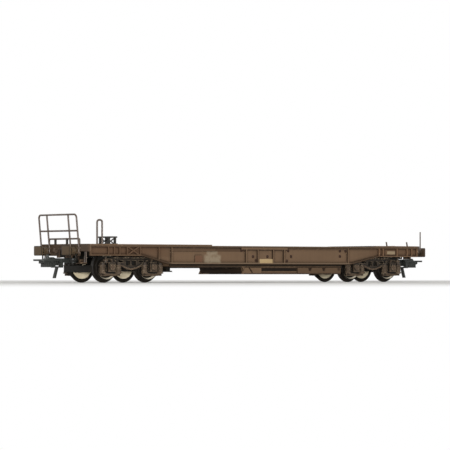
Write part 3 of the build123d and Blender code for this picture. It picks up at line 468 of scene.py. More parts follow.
FINISHES = {                    # name: colour, corners with painted shade and grime, rubbed edges with painted highlight, then changes to the finish
    "body_brown": ((104, 83, 64), (38, 27, 18), (136, 115, 92), {
        "streak": 0.45, "reach": 1.6, "corner_shade_and_dirt": 1.0, "dusty": 0.12, "gloss": 0.12, "rough": 0.6,
        "zones": BODY_ZONES, "touches": BODY_TOUCHES, "patches": FADED_PATCHES,
    }),
    "buffer_brown": ((82, 67, 49), (28, 22, 15), (122, 104, 80), {
        "corner_shade_and_dirt": 0.95, "gloss": 0.2, "dusty": 0.1, "zones": BUFFER_ZONES,
    }),
    # the pale rubbed edges of the bogies are mostly painted highlight
    "bogie_brown": ((80, 65, 51), (12, 10, 8), (172, 152, 126), {
        "rub_and_highlight": 0.95, "corner_shade_and_dirt": 1.0, "dusty": 0.12, "gloss": 0.25, "reach": 1.5, "zones": BOGIE_ZONES,
    }),
    "bogie_dark": ((18, 17, 14), (6, 6, 5), (48, 44, 38), {"dusty": 0.15, "gloss": 0.2}),
    "underframe_dark": ((20, 18, 14), (7, 6, 5), (50, 45, 37), {"dusty": 0.12, "gloss": 0.2}),
    "coupler_black": ((38, 41, 38), (9, 10, 10), (104, 108, 104), {
        "rough": 0.45, "dusty": 0.12, "gloss": 0.4, "rub_and_highlight": 0.8,
    }),
    "trestle_black": ((38, 35, 30), (12, 11, 10), (84, 76, 64), {"dusty": 0.2}),
    "railing_wire": ((80, 66, 56), (40, 32, 26), (128, 112, 94), {"rough": 0.4, "dusty": 0.15}),
    "wheel_face": ((22, 19, 15), (8, 7, 6), (72, 64, 54), {"dusty": 0.12, "gloss": 0.2}),
    "rust_dark": ((50, 31, 20), (22, 13, 8), (72, 50, 36), {"dusty": 0.05, "gloss": 0.2}),
    "hook_brown": ((78, 63, 51), (20, 15, 11), (90, 76, 64), {"dusty": 0.1, "gloss": 0.25}),
    "buffer_rim": ((40, 33, 25), (16, 13, 9), (84, 72, 56), {"dusty": 0.1, "gloss": 0.25}),
    "blank_plate": ((166, 142, 102), (92, 74, 50), (190, 170, 132), {"corner_shade_and_dirt": 0.4, "dusty": 0.1}),
    "faded_paint": ((136, 118, 92), (96, 80, 60), (158, 142, 116), {"corner_shade_and_dirt": 0.4, "dusty": 0.1}),
}
METALS = {                      # name: colour, tarnish, roughness, share of metal
    # the wheels' bright metal as a pale, mostly diffuse colour: partly its own tone, partly a painted
    # reflection of the pale ground
    "wheel_metal": ((246, 231, 198), (190, 170, 134), 0.4, 0.15),
    "wheel_edge": ((232, 222, 200), (150, 136, 112), 0.36, 0.0),
    "axle_steel": ((84, 79, 70), (40, 36, 31), 0.45, 0.5),
}
for name, (colour, corner, wear_and_highlight, changes) in FINISHES.items():
    moulded(name, colour, corner, wear_and_highlight, **changes)
for name, values in METALS.items():
    turned_metal(name, *values)


def finish_nodes():
    """Gives every CAD node the finish of its slot."""
    for name, piece in NODES.items():
        piece.data.materials.clear()
        piece.data.materials.append(MATERIALS[SLOT_OF[name]])


# ---- turned and drawn shapes -------------------------------------------------------------
TURN_STEPS = 72                 # faces round a wheel
SLEEVE_STEPS = 40
TRIM_STEPS = 24
POT_STEPS = 20
WIRE_STEPS = 3                  # how round a wire's section is


def skin(bm, rings, closed=False, capped=False):
    """Faces between neighbouring rings of vertices, where a ring may be a single point."""
    pairs = list(zip(rings, rings[1:]))
    if closed:
        pairs.append((rings[-1], rings[0]))
    count = max(len(ring) for ring in rings)
    faces = []
    for first, second in pairs:
        for step in range(count):
            ahead = (step + 1) % count
            corners = [first[step % len(first)], first[ahead % len(first)]]
            corners += [second[ahead % len(second)], second[step % len(second)]]
            faces.append(bm.faces.new(list(dict.fromkeys(corners))))
    if capped:
        faces += [bm.faces.new(rings[0]), bm.faces.new(rings[-1])]
    return faces


def turn(bm, profile, centre, along, steps=TURN_STEPS, closed=False):
    """Turns a profile of (radius, distance along), in millimetres, into a bmesh."""
    across = along.orthogonal().normalized()
    third = along.cross(across)
    layers = bm.verts.layers.float
    keep = layers.get(RADIUS_KEPT) or layers.new(RADIUS_KEPT)
    rings = []
    for radius, distance in profile:
        base = centre + along * distance * MM
        count = steps if radius > 0 else 1
        ring = []
        for step in range(count):
            angle = 2 * math.pi * step / count
            spoke = across * math.cos(angle) + third * math.sin(angle)
            vert = bm.verts.new(base + spoke * radius * MM)
            vert[keep] = radius * MM
            ring.append(vert)
        rings.append(ring)
    return skin(bm, rings, closed)


def rounded(points, radius, steps=6):
    """A path of straight runs whose corners are arcs of one radius."""
    path = [points[0]]
    for before, corner, after in zip(points, points[1:], points[2:]):
        back = (before - corner).normalized()
        ahead = (after - corner).normalized()
        half = back.angle(ahead) / 2
        reach = radius / math.tan(half)
        centre = corner + (back + ahead).normalized() * (radius / math.sin(half))
        start = (corner + back * reach - centre).normalized()
        end = (corner + ahead * reach - centre).normalized()
        for step in range(steps + 1):
            path.append(centre + start.slerp(end, step / steps) * radius)
    return path + [points[-1]]


def hoop(start, end, rise, bend, steps=6):
    """A path from start along the rise, across and back to end, with rounded corners."""
    return rounded([start, start + rise, end + rise, end], bend, steps)


def wire(name, paths, radius, finish):
    """Round wire along one or more paths, as one mesh."""
    curve = bpy.data.curves.new(name, "CURVE")
    curve.dimensions = "3D"
    curve.bevel_depth = radius * MM
    curve.bevel_resolution = WIRE_STEPS
    curve.use_fill_caps = True
    for path in paths:
        spline = curve.splines.new("POLY")
        spline.points.add(len(path) - 1)
        for point, place in zip(spline.points, path):
            point.co = (*place, 1.0)
    mesh = evaluated_mesh(link(name, curve), name)
    mesh.materials.clear()
    return as_object(name, mesh, [finish])


def block(bm, first, second):
    """A box between two opposite corners, in metres."""
    xs, ys, zs = (sorted(pair) for pair in zip(first, second))
    corners = [bm.verts.new((x, y, z)) for x in xs for y in ys for z in zs]
    for side in ((0, 1, 3, 2), (4, 6, 7, 5), (0, 4, 5, 1), (2, 3, 7, 6), (0, 2, 6, 4), (1, 5, 7, 3)):
        bm.faces.new([corners[k] for k in side])


def blocks(bm, boxes, end=1, side=1):
    """Boxes between pairs of corners in millimetres, mirrored to an end and a side of the wagon."""
    for pair in boxes:
        block(bm, *(over_rail(end * x, side * y, z) for x, y, z in pair))


def slab(bm, outline, low, high, along="y"):
    """A flat shape between two distances out, from an outline of (distance, height over the rail)."""
    rings = []
    for out in (low, high):
        places = [(x, out, z) if along == "y" else (out, x, z) for x, z in outline]
        rings.append([bm.verts.new(over_rail(*place)) for place in places])
    skin(bm, rings, capped=True)


def spaced(start, end, pitch):
    """Evenly spaced values from start to end, close to a pitch."""
    count = max(1, round(abs(end - start) / pitch))
    return [start + (end - start) * k / count for k in range(count + 1)]


# ---- shapes that repeat ------------------------------------------------------------------
SOCKETS = {float: NUMBER, int: "NodeSocketInt", type(None): "NodeSocketMaterial"}


def new_tree(name, **inputs):
    """A geometry node tree with named inputs (name: value) and one for its finish."""
    tree = bpy.data.node_groups.new(name, "GeometryNodeTree")
    tree.interface.new_socket("Geometry", in_out="INPUT", socket_type="NodeSocketGeometry")
    for label, value in {**inputs, "Finish": None}.items():
        socket = tree.interface.new_socket(label, in_out="INPUT", socket_type=SOCKETS[type(value)])
        if value is not None:
            socket.default_value = value
    tree.interface.new_socket("Geometry", in_out="OUTPUT", socket_type="NodeSocketGeometry")
    return tree, tree.nodes.new("NodeGroupInput").outputs


def close_tree(tree, given, geometry):
    """Ends a tree: instances made real, then the finish."""
    real = add(tree, "GeometryNodeRealizeInstances", Geometry=geometry)
    done = add(tree, "GeometryNodeSetMaterial", Geometry=real.outputs[0], Material=given["Finish"])
    put(tree, tree.nodes.new("NodeGroupOutput").inputs["Geometry"], done.outputs[0])
    return tree


def on_points(tree, points, shape, **turned):
    """A shape on every point."""
    return add(tree, "GeometryNodeInstanceOnPoints", Points=points, Instance=shape, **turned).outputs[0]


def tube(tree, curve, radius, sides):
    """Round wire along a curve, closed at its ends."""
    circle = "GeometryNodeCurvePrimitiveCircle"
    section = add(tree, circle, {"mode": "RADIUS"}, Resolution=sides, Radius=radius).outputs[0]
    made = add(tree, "GeometryNodeCurveToMesh", Curve=curve, Profile_Curve=section, Fill_Caps=True)
    return made.outputs[0]


def boss(tree, sides, radius, top, height):
    """A low round or sided boss, a little narrower at its top."""
    made = add(
        tree, "GeometryNodeMeshCone", {"fill_type": "NGON"}, Vertices=sides,
        Radius_Bottom=radius, Radius_Top=top, Depth=height,
    )
    return made.outputs["Mesh"]


def make_heads_tree():
    """Round heads of rivets and bolts on points, each standing the way that its point faces."""
    tree, given = new_tree("fastener_heads", Radius=0.0002, Height=0.0001, Crown=0.6, Sides=10)
    top = times(tree, given["Radius"], given["Crown"])
    head = boss(tree, given["Sides"], given["Radius"], top, given["Height"])
    facing = add(tree, "GeometryNodeInputNamedAttribute", {"data_type": "FLOAT_VECTOR"}, Name="facing")
    turned = add(tree, "FunctionNodeAlignRotationToVector", {"axis": "Z"}, Vector=facing.outputs[0])
    placed = on_points(tree, given["Geometry"], head, Rotation=turned.outputs[0])
    return close_tree(tree, given, placed)


def make_springs_tree():
    """Upright coil springs on points."""
    tree, given = new_tree("coil_springs", Radius=0.001, Wire=0.0002, Turns=5.0, Height=0.003)
    coil = add(
        tree, "GeometryNodeCurveSpiral", Resolution=16, Rotations=given["Turns"],
        Start_Radius=given["Radius"], End_Radius=given["Radius"], Height=given["Height"],
    )
    spring = tube(tree, coil.outputs[0], given["Wire"], 6)
    return close_tree(tree, given, on_points(tree, given["Geometry"], spring))


BAR_SLIM = (1.0, 0.34, 1.0)     # a tread bar is a six-sided boss, squeezed to a bar


def make_tread_tree():
    """Raised bars of tread plate over a rectangle, turned to and fro in turn."""
    tree, given = new_tree(
        "tread_plate", Length=0.02, Width=0.03, Pitch=0.0008, Bar=0.0005, Height=0.00006,
    )
    sheet = add(tree, "GeometryNodeMeshGrid", Size_X=given["Length"], Size_Y=given["Width"])
    for extent, count in (("Length", "Vertices X"), ("Width", "Vertices Y")):
        whole = calc(tree, "ROUND", calc(tree, "DIVIDE", given[extent], given["Pitch"]))
        put(tree, sheet.inputs[count], calc(tree, "ADD", whole, 1.0))
    low, high = (times(tree, given["Bar"], share) for share in (0.5, 0.3))
    bar = boss(tree, 6, low, high, given["Height"])
    slim = add(tree, "GeometryNodeTransform", Geometry=bar, Scale=BAR_SLIM)
    place = split(tree, add(tree, "GeometryNodeInputPosition").outputs[0])
    across, along = (calc(tree, "DIVIDE", place[axis], given["Pitch"]) for axis in ("X", "Y"))
    number = calc(tree, "ROUND", calc(tree, "ADD", across, along))
    odd = calc(tree, "FLOORED_MODULO", number, 2.0)
    angle = span(tree, odd, 0.0, 1.0, math.radians(45), math.radians(-45))
    turned = add(tree, "ShaderNodeCombineXYZ", Z=angle).outputs[0]
    bars = on_points(tree, sheet.outputs["Mesh"], slim.outputs[0], Rotation=turned)
    real = add(tree, "GeometryNodeRealizeInstances", Geometry=bars)
    return close_tree(tree, given, on_points(tree, given["Geometry"], real.outputs[0]))


def make_seams_tree():
    """Weld beads along the edges of a mesh, rippled along their length."""
    tree, given = new_tree("weld_beads", Radius=0.0001, Pitch=0.0004, Ripple=0.3)
    line = add(tree, "GeometryNodeMeshToCurve", Mesh=given["Geometry"])
    parted = add(
        tree, "GeometryNodeResampleCurve", {"mode": "LENGTH"}, Curve=line.outputs[0], Length=given["Pitch"],
    )
    odd = calc(tree, "FLOORED_MODULO", add(tree, "GeometryNodeInputIndex").outputs[0], 2.0)
    low = calc(tree, "SUBTRACT", 1.0, given["Ripple"])
    size = calc(tree, "ADD", low, times(tree, odd, given["Ripple"]))
    sized = add(tree, "GeometryNodeSetCurveRadius", Curve=parted.outputs[0], Radius=size)
    return close_tree(tree, given, tube(tree, sized.outputs[0], given["Radius"], 5))


HEADS = make_heads_tree()
SEAMS = make_seams_tree()
SPRINGS = make_springs_tree()
TREAD = make_tread_tree()


def facing_points(name, spots):
    """A mesh of loose points, each with the direction that it faces: (place, facing) pairs."""
    mesh = bpy.data.meshes.new(name)
    mesh.from_pydata([tuple(place) for place, _ in spots], [], [])
    facing = mesh.attributes.new("facing", "FLOAT_VECTOR", "POINT")
    facing.data.foreach_set("vector", [value for _, way in spots for value in way])
    return mesh


def grow(name, mesh, tree, finish, counts=None, **sizes):
    """Runs a tree on a mesh, with its sizes in millimetres, and keeps the result as a plain object."""
    start = link(name, mesh)
    modifier = start.modifiers.new(name, "NODES")
    modifier.node_group = tree
    sockets = {item.name: item.identifier for item in tree.interface.items_tree if item.in_out == "INPUT"}
    values = {label: size * MM for label, size in sizes.items()}
    for label, value in {**values, **(counts or {}), "Finish": MATERIALS[finish]}.items():
        modifier[sockets[label]] = value
    return as_object(name, evaluated_mesh(start, name), [finish])


def heads(name, spots, finish, sides, radius, height, crown=0.6):
    """Heads of rivets or bolts on spots, as one piece."""
    counts = {"Sides": sides, "Crown": crown}
    places = facing_points(f"{name}_places", spots)
    return grow(name, places, HEADS, finish, counts, Radius=radius, Height=height)


# ---- wheels ------------------------------------------------------------------------------
WHEEL_BACK = 7.2                # inner faces of the wheels, from the centre line
BRIGHT, DARK, EDGED = 0, 1, 2   # places in the list of finishes of a wheel
WHEEL_FINISHES = ("wheel_metal", "wheel_face", "wheel_edge")
WHEEL_PROFILE = [               # radius, distance out from the inner face, finish up to the next point
    (0.75, 0.0, BRIGHT), (1.9, 0.0, BRIGHT), (2.1, 0.06, BRIGHT), (4.6, 0.06, BRIGHT),
    (4.78, 0.0, DARK), (5.5, 0.0, DARK), (5.95, 0.0, DARK), (6.18, 0.08, DARK), (6.29, 0.26, DARK),
    (6.29, 0.42, DARK), (6.15, 0.62, DARK), (5.85, 0.76, DARK), (5.6, 0.84, DARK), (5.42, 0.98, DARK),
    (5.38, 1.2, DARK), (5.27, 2.64, DARK), (5.15, 2.78, DARK), (4.9, 2.78, EDGED), (4.42, 1.98, DARK),
    (4.2, 1.8, DARK), (3.2, 1.76, DARK), (2.1, 1.82, DARK), (1.86, 2.1, DARK), (1.74, 2.66, DARK),
    (1.62, 2.78, DARK), (0.75, 2.78, DARK),
]


def add_wheels():
    """Both wheels of each set, turned from one profile."""
    outline = [point[:2] for point in WHEEL_PROFILE]
    for number in ("1", "2", "3", "4"):
        low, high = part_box(f"wheels_{number}")
        hub = (low + high) / 2
        bm = bmesh.new()
        for side in BOTH:
            inner = Vector((hub.x, side * WHEEL_BACK * MM, hub.z))
            faces = turn(bm, outline, inner, Vector((0, side, 0)), closed=True)
            for count, face in enumerate(faces):
                face.material_index = WHEEL_PROFILE[count // TURN_STEPS][2]
        piece = soften(from_bmesh(f"turned_wheels_{number}", bm, *WHEEL_FINISHES))
        seat(piece, "wheel_metal", f"wheels_{number}", body=f"wheelset_{number}")


# ---- wire work ---------------------------------------------------------------------------
WIRE_R = 0.37
GRIP_R = 0.3
ROD_R = 0.2
RAILING_LEAN = math.radians(5.7)
RAILING_HALF = 13.1             # legs of the hoop, from the middle
RAILING_HIGH = 13.2
RAILING_BAR = 6.7               # height of the middle bar over the feet
RAILING_POSTS = (-7.4, 7.4)
RAILING_LEGS = (-RAILING_HALF, *RAILING_POSTS, RAILING_HALF)
RAILING_BEND, STOP_BEND, GRAB_BEND, GRIP_BEND = 1.4, 0.6, 0.9, 0.45
RAILING_FOOT = 10.9             # lower ends of the legs on the headstock
RAILING_START = 0.2             # the legs lean from so far over the node's lowest point
RAILING_LAP = 0.5               # how far the wire of a foot runs up its leg
CLIP_LOWS = (10.6, 12.5)        # lower edges of the clips over each leg
CLIP_HALF = 0.6
CLIP_HIGH = 0.6
CLIP_STANDS = 0.42


def add_railing():
    """The leaning end railing: hoop, two posts, middle bar and feet, and the clips that hold it."""
    low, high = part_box("end_railing")
    foot_low = low.z + RAILING_START * MM
    face = high.x - WIRE_R * MM
    rise = Vector((-math.sin(RAILING_LEAN), 0, math.cos(RAILING_LEAN)))

    def at(y, up):
        return Vector((face, y * MM, foot_low)) + rise * up * MM

    whole = rise * RAILING_HIGH * MM
    paths = [hoop(at(-RAILING_HALF, 0), at(RAILING_HALF, 0), whole, RAILING_BEND * MM)]
    paths += [[at(y, 0), at(y, RAILING_HIGH)] for y in RAILING_POSTS]
    for y in RAILING_LEGS:
        foot = Vector((face, y * MM, (RAIL_TOP + RAILING_FOOT) * MM))
        paths.append([foot, at(y, 0), at(y, RAILING_LAP)])
    paths.append([at(-RAILING_HALF, RAILING_BAR), at(RAILING_HALF, RAILING_BAR)])
    piece = wire("railing_wires", paths, WIRE_R, "railing_wire")
    seat(piece, "railing_wire", "end_railing")
    clips = [
        ((face / MM - CLIP_STANDS, y - CLIP_HALF, z), (high.x / MM, y + CLIP_HALF, z + CLIP_HIGH))
        for y in RAILING_LEGS for z in CLIP_LOWS
    ]
    bm = bmesh.new()
    blocks(bm, clips)
    seat(flat_faced("railing_clips", bm, "railing_wire"), "railing_wire")


STOP_POSTS_Y = (-3.1, 5.0)
STOP_POST_HALF = (0.3, 0.45)    # half the thickness and width of a post


def add_stop_bar():
    """The low bar across the end platform, with its two flat posts."""
    low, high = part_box("stop_bar")
    radius = WIRE_R * MM
    x = (low.x + high.x) / 2
    top = high.z - radius
    right, left = Vector((x, low.y + radius, low.z)), Vector((x, high.y - radius, low.z))
    path = hoop(right, left, UP * (top - low.z), STOP_BEND * MM)
    piece = wire("stop_bar_wire", [path], WIRE_R, "railing_wire")
    seat(piece, "railing_wire", "stop_bar")
    bm = bmesh.new()
    for y in STOP_POSTS_Y:
        half = mm(*STOP_POST_HALF, 0)
        block(bm, Vector((x, y * MM, low.z)) - half, Vector((x, y * MM, top)) + half)
    seat(flat_faced("stop_bar_posts", bm, "trestle_black"), "railing_wire")


def add_grab_rail():
    """The hoop beside the platform."""
    low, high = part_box("handrail")
    radius = WIRE_R * MM
    y = (low.y + high.y) / 2
    ends = [Vector((x, y, low.z)) for x in (low.x + radius, high.x - radius)]
    path = hoop(*ends, UP * (high.z - radius - low.z), GRAB_BEND * MM)
    piece = wire("grab_rail_wire", [path], WIRE_R, "railing_wire")
    seat(piece, "railing_wire", "handrail")


# ---- buffers -----------------------------------------------------------------------------
SLEEVE_PROFILE = [              # radius, distance out from the headstock
    (0.0, 0.3), (1.62, 0.3), (1.62, 0.62), (1.42, 0.78), (1.34, 1.0), (1.34, 1.9),
    (1.44, 1.96), (1.44, 2.12), (1.36, 2.18), (0.94, 2.18), (0.9, 2.24), (0.9, 3.7),
    (1.2, 3.9), (0.0, 3.9),
]
BASE_SIZE = (0.4, 1.8, 1.7)     # a buffer's base: thickness, half width, half height
PLATE_CORNER = 0.5
PLATE_LAYERS = (                # a buffer plate from its back: depth from its face, share of its size
    (0.66, 0.92), (0.6, 1.0), (0.16, 1.0), (0.08, 0.94), (0.05, 0.86), (0.0, 0.5),
)
RIM_LAYERS = (2, 3)             # the dirty rim of a buffer plate


def add_buffers():
    """Turned sleeves and plungers, with slightly domed square plates."""
    for end, outwards in ENDS.items():
        for side in SIDES:
            node = f"buffer_{end}_{side}"
            low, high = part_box(node)
            spot = (low + high) / 2
            root, tip = (high.x, low.x) if outwards < 0 else (low.x, high.x)
            bm = bmesh.new()
            start = Vector((root, spot.y, spot.z))
            turn(bm, SLEEVE_PROFILE, start, Vector((outwards, 0, 0)), SLEEVE_STEPS)
            thick, wide, tall = BASE_SIZE
            block(bm, start - mm(0, wide, tall), start + mm(outwards * thick, wide, tall))
            domed_plate(bm, tip, outwards, spot, (high.y - low.y) / 2, (high.z - low.z) / 2)
            piece = soften(from_bmesh(f"turned_{node}", bm, "buffer_brown", "buffer_rim"))
            seat(piece, "buffer_brown", node)


def domed_plate(bm, tip, outwards, spot, half_wide, half_high):
    """A square buffer plate with rounded corners and a shallow dome."""
    corner = PLATE_CORNER * MM
    outline = []
    for turned_by, (sign_y, sign_z) in enumerate(((1, 1), (-1, 1), (-1, -1), (1, -1))):
        for step in range(4):
            angle = math.pi / 2 * (turned_by + step / 3)
            outline.append((
                sign_y * (half_wide - corner) + corner * math.cos(angle),
                sign_z * (half_high - corner) + corner * math.sin(angle),
            ))
    rings = []
    for depth, scale in PLATE_LAYERS:
        x = tip - outwards * depth * MM
        rings.append([bm.verts.new((x, spot.y + y * scale, spot.z + z * scale)) for y, z in outline])
    for number, face in enumerate(skin(bm, rings, capped=True)):
        face.material_index = int(number // len(outline) in RIM_LAYERS)


# ---- rivets, bolts and plates on the sills -----------------------------------------------
FLANGE_RIVETS = (               # rows along the sill's top flange: from x, to x, pitch
    (-86.2, -62.6, 1.7), (-45.5, -9.0, 3.2), (14.8, 46.6, 3.2), (65.0, 86.2, 1.7),
)
FLANGE_RIVET_HIGH = 13.7
WEB_RIVETS = (                  # pairs of rivets on the web beside each of these ribs
    -78.1, -62.3, -53.0, -46.5, -8.0, 12.3, 47.4, 64.9,
)
WEB_RIVET_HIGHS = (11.2, 12.4)
RIVET_APART = 0.6
SILL_BOLTS = (                  # dark bolt heads on the web: x, height
    (-4.2, 9.7), (-2.6, 8.1), (3.5, 9.7), (14.7, 12.2), (16.2, 9.8), (14.0, 7.9), (43.1, 9.9), (46.2, 12.2),
    (43.1, 12.2), (-10.3, 12.3),
)


def add_sill_rivets():
    """Rivets on both sills, and dark bolts on their webs."""
    rivets, bolts = [], []
    for side in BOTH:
        out = (0, side, 0)
        for row in FLANGE_RIVETS:
            rivets += [(over_rail(x, side * FLANGE_Y, FLANGE_RIVET_HIGH), out) for x in spaced(*row)]
        for x in WEB_RIVETS:
            for z in WEB_RIVET_HIGHS:
                pair = (x - RIVET_APART, x + RIVET_APART)
                rivets += [(over_rail(place, side * WEB_Y, z), out) for place in pair]
        bolts += [(over_rail(x, side * WEB_Y, z), out) for x, z in SILL_BOLTS]
    seat(heads("sill_rivets", rivets, "body_brown", sides=8, radius=0.17, height=0.07), "body_brown")
    piece = heads("sill_bolts", bolts, "rust_dark", sides=8, radius=0.7, height=0.18, crown=0.75)
    seat(piece, "body_brown")


PLATES = {                      # finish: face of the web, then x and height of two corners
    "blank_plate": (15.5, (-0.7, 6.98), (6.65, 8.68)),
    "faded_paint": (15.7, (69.7, 10.9), (74.1, 12.2)),
}
PLATE_STANDS = 0.07
PLATE_BEVEL = 0.12


def bevelled_plate(bm, side, face, low, high):
    """A thin plate on a sill's web with a small bevel all round: corners as (x, height)."""
    rings = []
    for inset, out in ((0.0, -SUNK_IN), (0.0, PLATE_STANDS / 2), (PLATE_BEVEL, PLATE_STANDS)):
        left, right = low[0] + inset, high[0] - inset
        lower, upper = low[1] + inset, high[1] - inset
        corners = ((left, lower), (right, lower), (right, upper), (left, upper))
        rings.append([bm.verts.new(over_rail(x, side * (face + out), z)) for x, z in corners])
    skin(bm, rings, capped=True)


def add_plates():
    """Blank plates on both sills."""
    for finish, place in PLATES.items():
        bm = bmesh.new()
        for side in BOTH:
            bevelled_plate(bm, side, *place)
        seat(flat_faced(f"{finish}s", bm, finish), "body_brown")


# ---- ends of the wagon -------------------------------------------------------------------
HEAD_FACE = 90.2                # outer faces of the headstocks
GRIP = (                        # a shunter's grip under a buffer at end a
    (90.1, 7.75, 10.3), (91.0, 7.75, 10.3), (91.0, 7.75, 7.7),
    (91.0, 11.55, 7.7), (91.0, 11.55, 10.3), (90.1, 11.55, 10.3),
)
HOOK = (                        # draw hook's outline: distance out from the headstock, height
    (0.0, 11.2), (1.5, 11.2), (2.2, 10.85), (3.0, 10.95), (3.45, 11.5), (3.4, 12.3), (3.05, 12.75),
    (2.75, 12.6), (2.85, 12.0), (2.55, 11.75), (2.15, 12.0), (0.0, 12.0),
)
HOOK_HALF = 0.38                # half its thickness
HOOK_BOXES = (                  # two corners of each block
    ((90.1, -1.7, 10.5), (90.55, 1.7, 12.8)),       # plate of the hook
    ((82.0, -3.4, 6.5), (82.2, 3.4, 10.2)),         # screen behind the coupler
    ((89.3, -7.6, 8.95), (89.7, -3.9, 9.9)),        # bracket beside the coupler
    ((89.3, -7.6, 8.95), (90.6, -7.2, 9.9)),
    ((89.3, -4.3, 8.95), (90.6, -3.9, 9.9)),
    ((91.0, -0.7, 9.0), (91.6, -0.42, 12.0)),       # shackle
    ((91.0, 0.42, 9.0), (91.6, 0.7, 12.0)),
    ((90.95, -0.75, 8.95), (91.65, 0.75, 9.6)),
)
COUPLER_BOXES = (               # block on the drawbar, and ribs on the head
    ((90.8, -1.5, 5.88), (94.4, 1.5, 7.1)),
    ((95.2, -2.2, 5.5), (95.65, 2.2, 7.0)),
    ((96.4, -2.2, 5.5), (96.85, 2.2, 7.0)),
    ((97.6, -2.2, 5.5), (98.05, 2.2, 7.0)),
)
CHEEK_BOXES = (                 # cheeks of a coupling loop
    ((91.5, -2.95, 5.5), (92.5, -1.7, 6.8)),
    ((91.5, 1.7, 5.5), (92.5, 2.95, 6.8)),
)
HEAD_BOSS_PLACE = (95.6, 7.9)   # x, height
HEAD_BOSS = (                   # boss through the coupler head: radius, distance across
    (0.0, -2.35), (0.75, -2.35), (0.85, -2.25), (0.85, -2.0), (1.05, -1.9),
    (1.05, 1.9), (0.85, 2.0), (0.85, 2.25), (0.75, 2.35), (0.0, 2.35),
)
HEAD_PIN_X = 96.6
HEAD_PIN = (                    # pin on the coupler head: radius, height
    (0.0, 8.4), (0.62, 8.4), (0.62, 9.95), (0.5, 10.15), (0.0, 10.2),
)


def add_shunter_grips():
    """Grips for the shunter under the buffers of end a."""
    grips = []
    for side in BOTH:
        path = [over_rail(ENDS["a"] * x, side * y, z) for x, y, z in GRIP]
        grips.append(rounded(path, GRIP_BEND * MM, steps=4))
    seat(wire("shunter_grips_a", grips, GRIP_R, "underframe_dark"), "underframe_dark")


def add_draw_hook(end, outwards):
    """A draw hook with its plate and shackle, the bracket beside it and the screen behind the coupler."""
    bm = bmesh.new()
    slab(bm, [(outwards * (HEAD_FACE + out), z) for out, z in HOOK], -HOOK_HALF, HOOK_HALF)
    blocks(bm, HOOK_BOXES, outwards)
    seat(flat_faced(f"draw_hook_{end}", bm, "hook_brown"), "underframe_dark")


def add_coupler_trim(end, outwards):
    """Ribs, boss and pin on a coupler's head, and the cheeks of its loop."""
    bm = bmesh.new()
    blocks(bm, COUPLER_BOXES, outwards)
    x, z = HEAD_BOSS_PLACE
    turn(bm, HEAD_BOSS, over_rail(outwards * x, 0, z), Vector((0, 1, 0)), TRIM_STEPS)
    turn(bm, HEAD_PIN, over_rail(outwards * HEAD_PIN_X, 0, 0), UP, TRIM_STEPS)
    piece = soften(from_bmesh(f"coupler_head_{end}", bm, "coupler_black"))
    seat(piece, "coupler_black", body=f"coupler_{end}")
    bm = bmesh.new()
    blocks(bm, CHEEK_BOXES, outwards)
    piece = flat_faced(f"loop_cheeks_{end}", bm, "coupler_black")
    seat(piece, "coupler_black", body=f"loop_{end}")


BULKHEAD = (                    # half of the end bulkhead: distance across, height
    (3.5, 13.35), (3.5, 7.4), (4.5, 6.4), (7.0, 6.4), (7.6, 9.85), (9.2, 9.85), (9.6, 9.1), (12.3, 9.1),
    (12.7, 9.85), (12.95, 9.85), (12.95, 13.35),
)


def add_bulkhead():
    """The end bulkhead, cut away at its lower corners."""
    low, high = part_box("end_bulkhead")
    bm = bmesh.new()
    for side in BOTH:
        slab(bm, [(side * y, z) for y, z in BULKHEAD], low.x / MM, high.x / MM, "x")
    piece = flat_faced("bulkhead_plate", bm, "underframe_dark")
    seat(piece, "underframe_dark", "end_bulkhead")


STEP_BOXES = (                  # tread of a corner step, and the upstand behind it
    ((-90.6, 13.65, 6.7), (-88.05, 15.0, 7.05)),
    ((-90.6, 13.65, 6.7), (-88.3, 13.85, 8.3)),
)
STEP_RODS = (                   # hanger and rod of a corner step, from their lower ends
    ((-88.25, 14.75, 6.8), (-87.7, 14.3, 11.4)),
    ((-88.5, 13.8, 6.8), (-87.95, 13.8, 11.4)),
)


def add_corner_steps():
    """Steps under the corners of end a: a tread with an upstand behind it, and two thin rods."""
    for name, side in SIDES.items():
        bm = bmesh.new()
        blocks(bm, STEP_BOXES, side=side)
        plate = flat_faced(f"step_plate_{name}", bm, "body_brown")
        seat(plate, "body_brown", f"corner_step_{name}")
        rods = [[over_rail(x, side * y, z) for x, y, z in rod] for rod in STEP_RODS]
        seat(wire(f"step_rod_{name}", rods, ROD_R, "railing_wire"), "body_brown")


# ---- bogies ------------------------------------------------------------------------------
COVER_BOLT_R = 0.95             # bolt circle of an axlebox cover
COVER_FACE = 14.1
FRAME_BOLTS = (-8.0, 8.0, 1.6)  # bolts along a frame's top: first and last from the pin, pitch
FRAME_BOLT_Y, FRAME_BOLT_HIGH = 12.6, 9.05
POT_DX = 3.9                    # spring pots from their axle
POT_Y = 12.45
SPRING_FOOT = 3.1
SPRING_COUNTS = {"Turns": 5.0}
SPRING_SIZES = {"Radius": 1.08, "Wire": 0.2, "Height": 3.1}


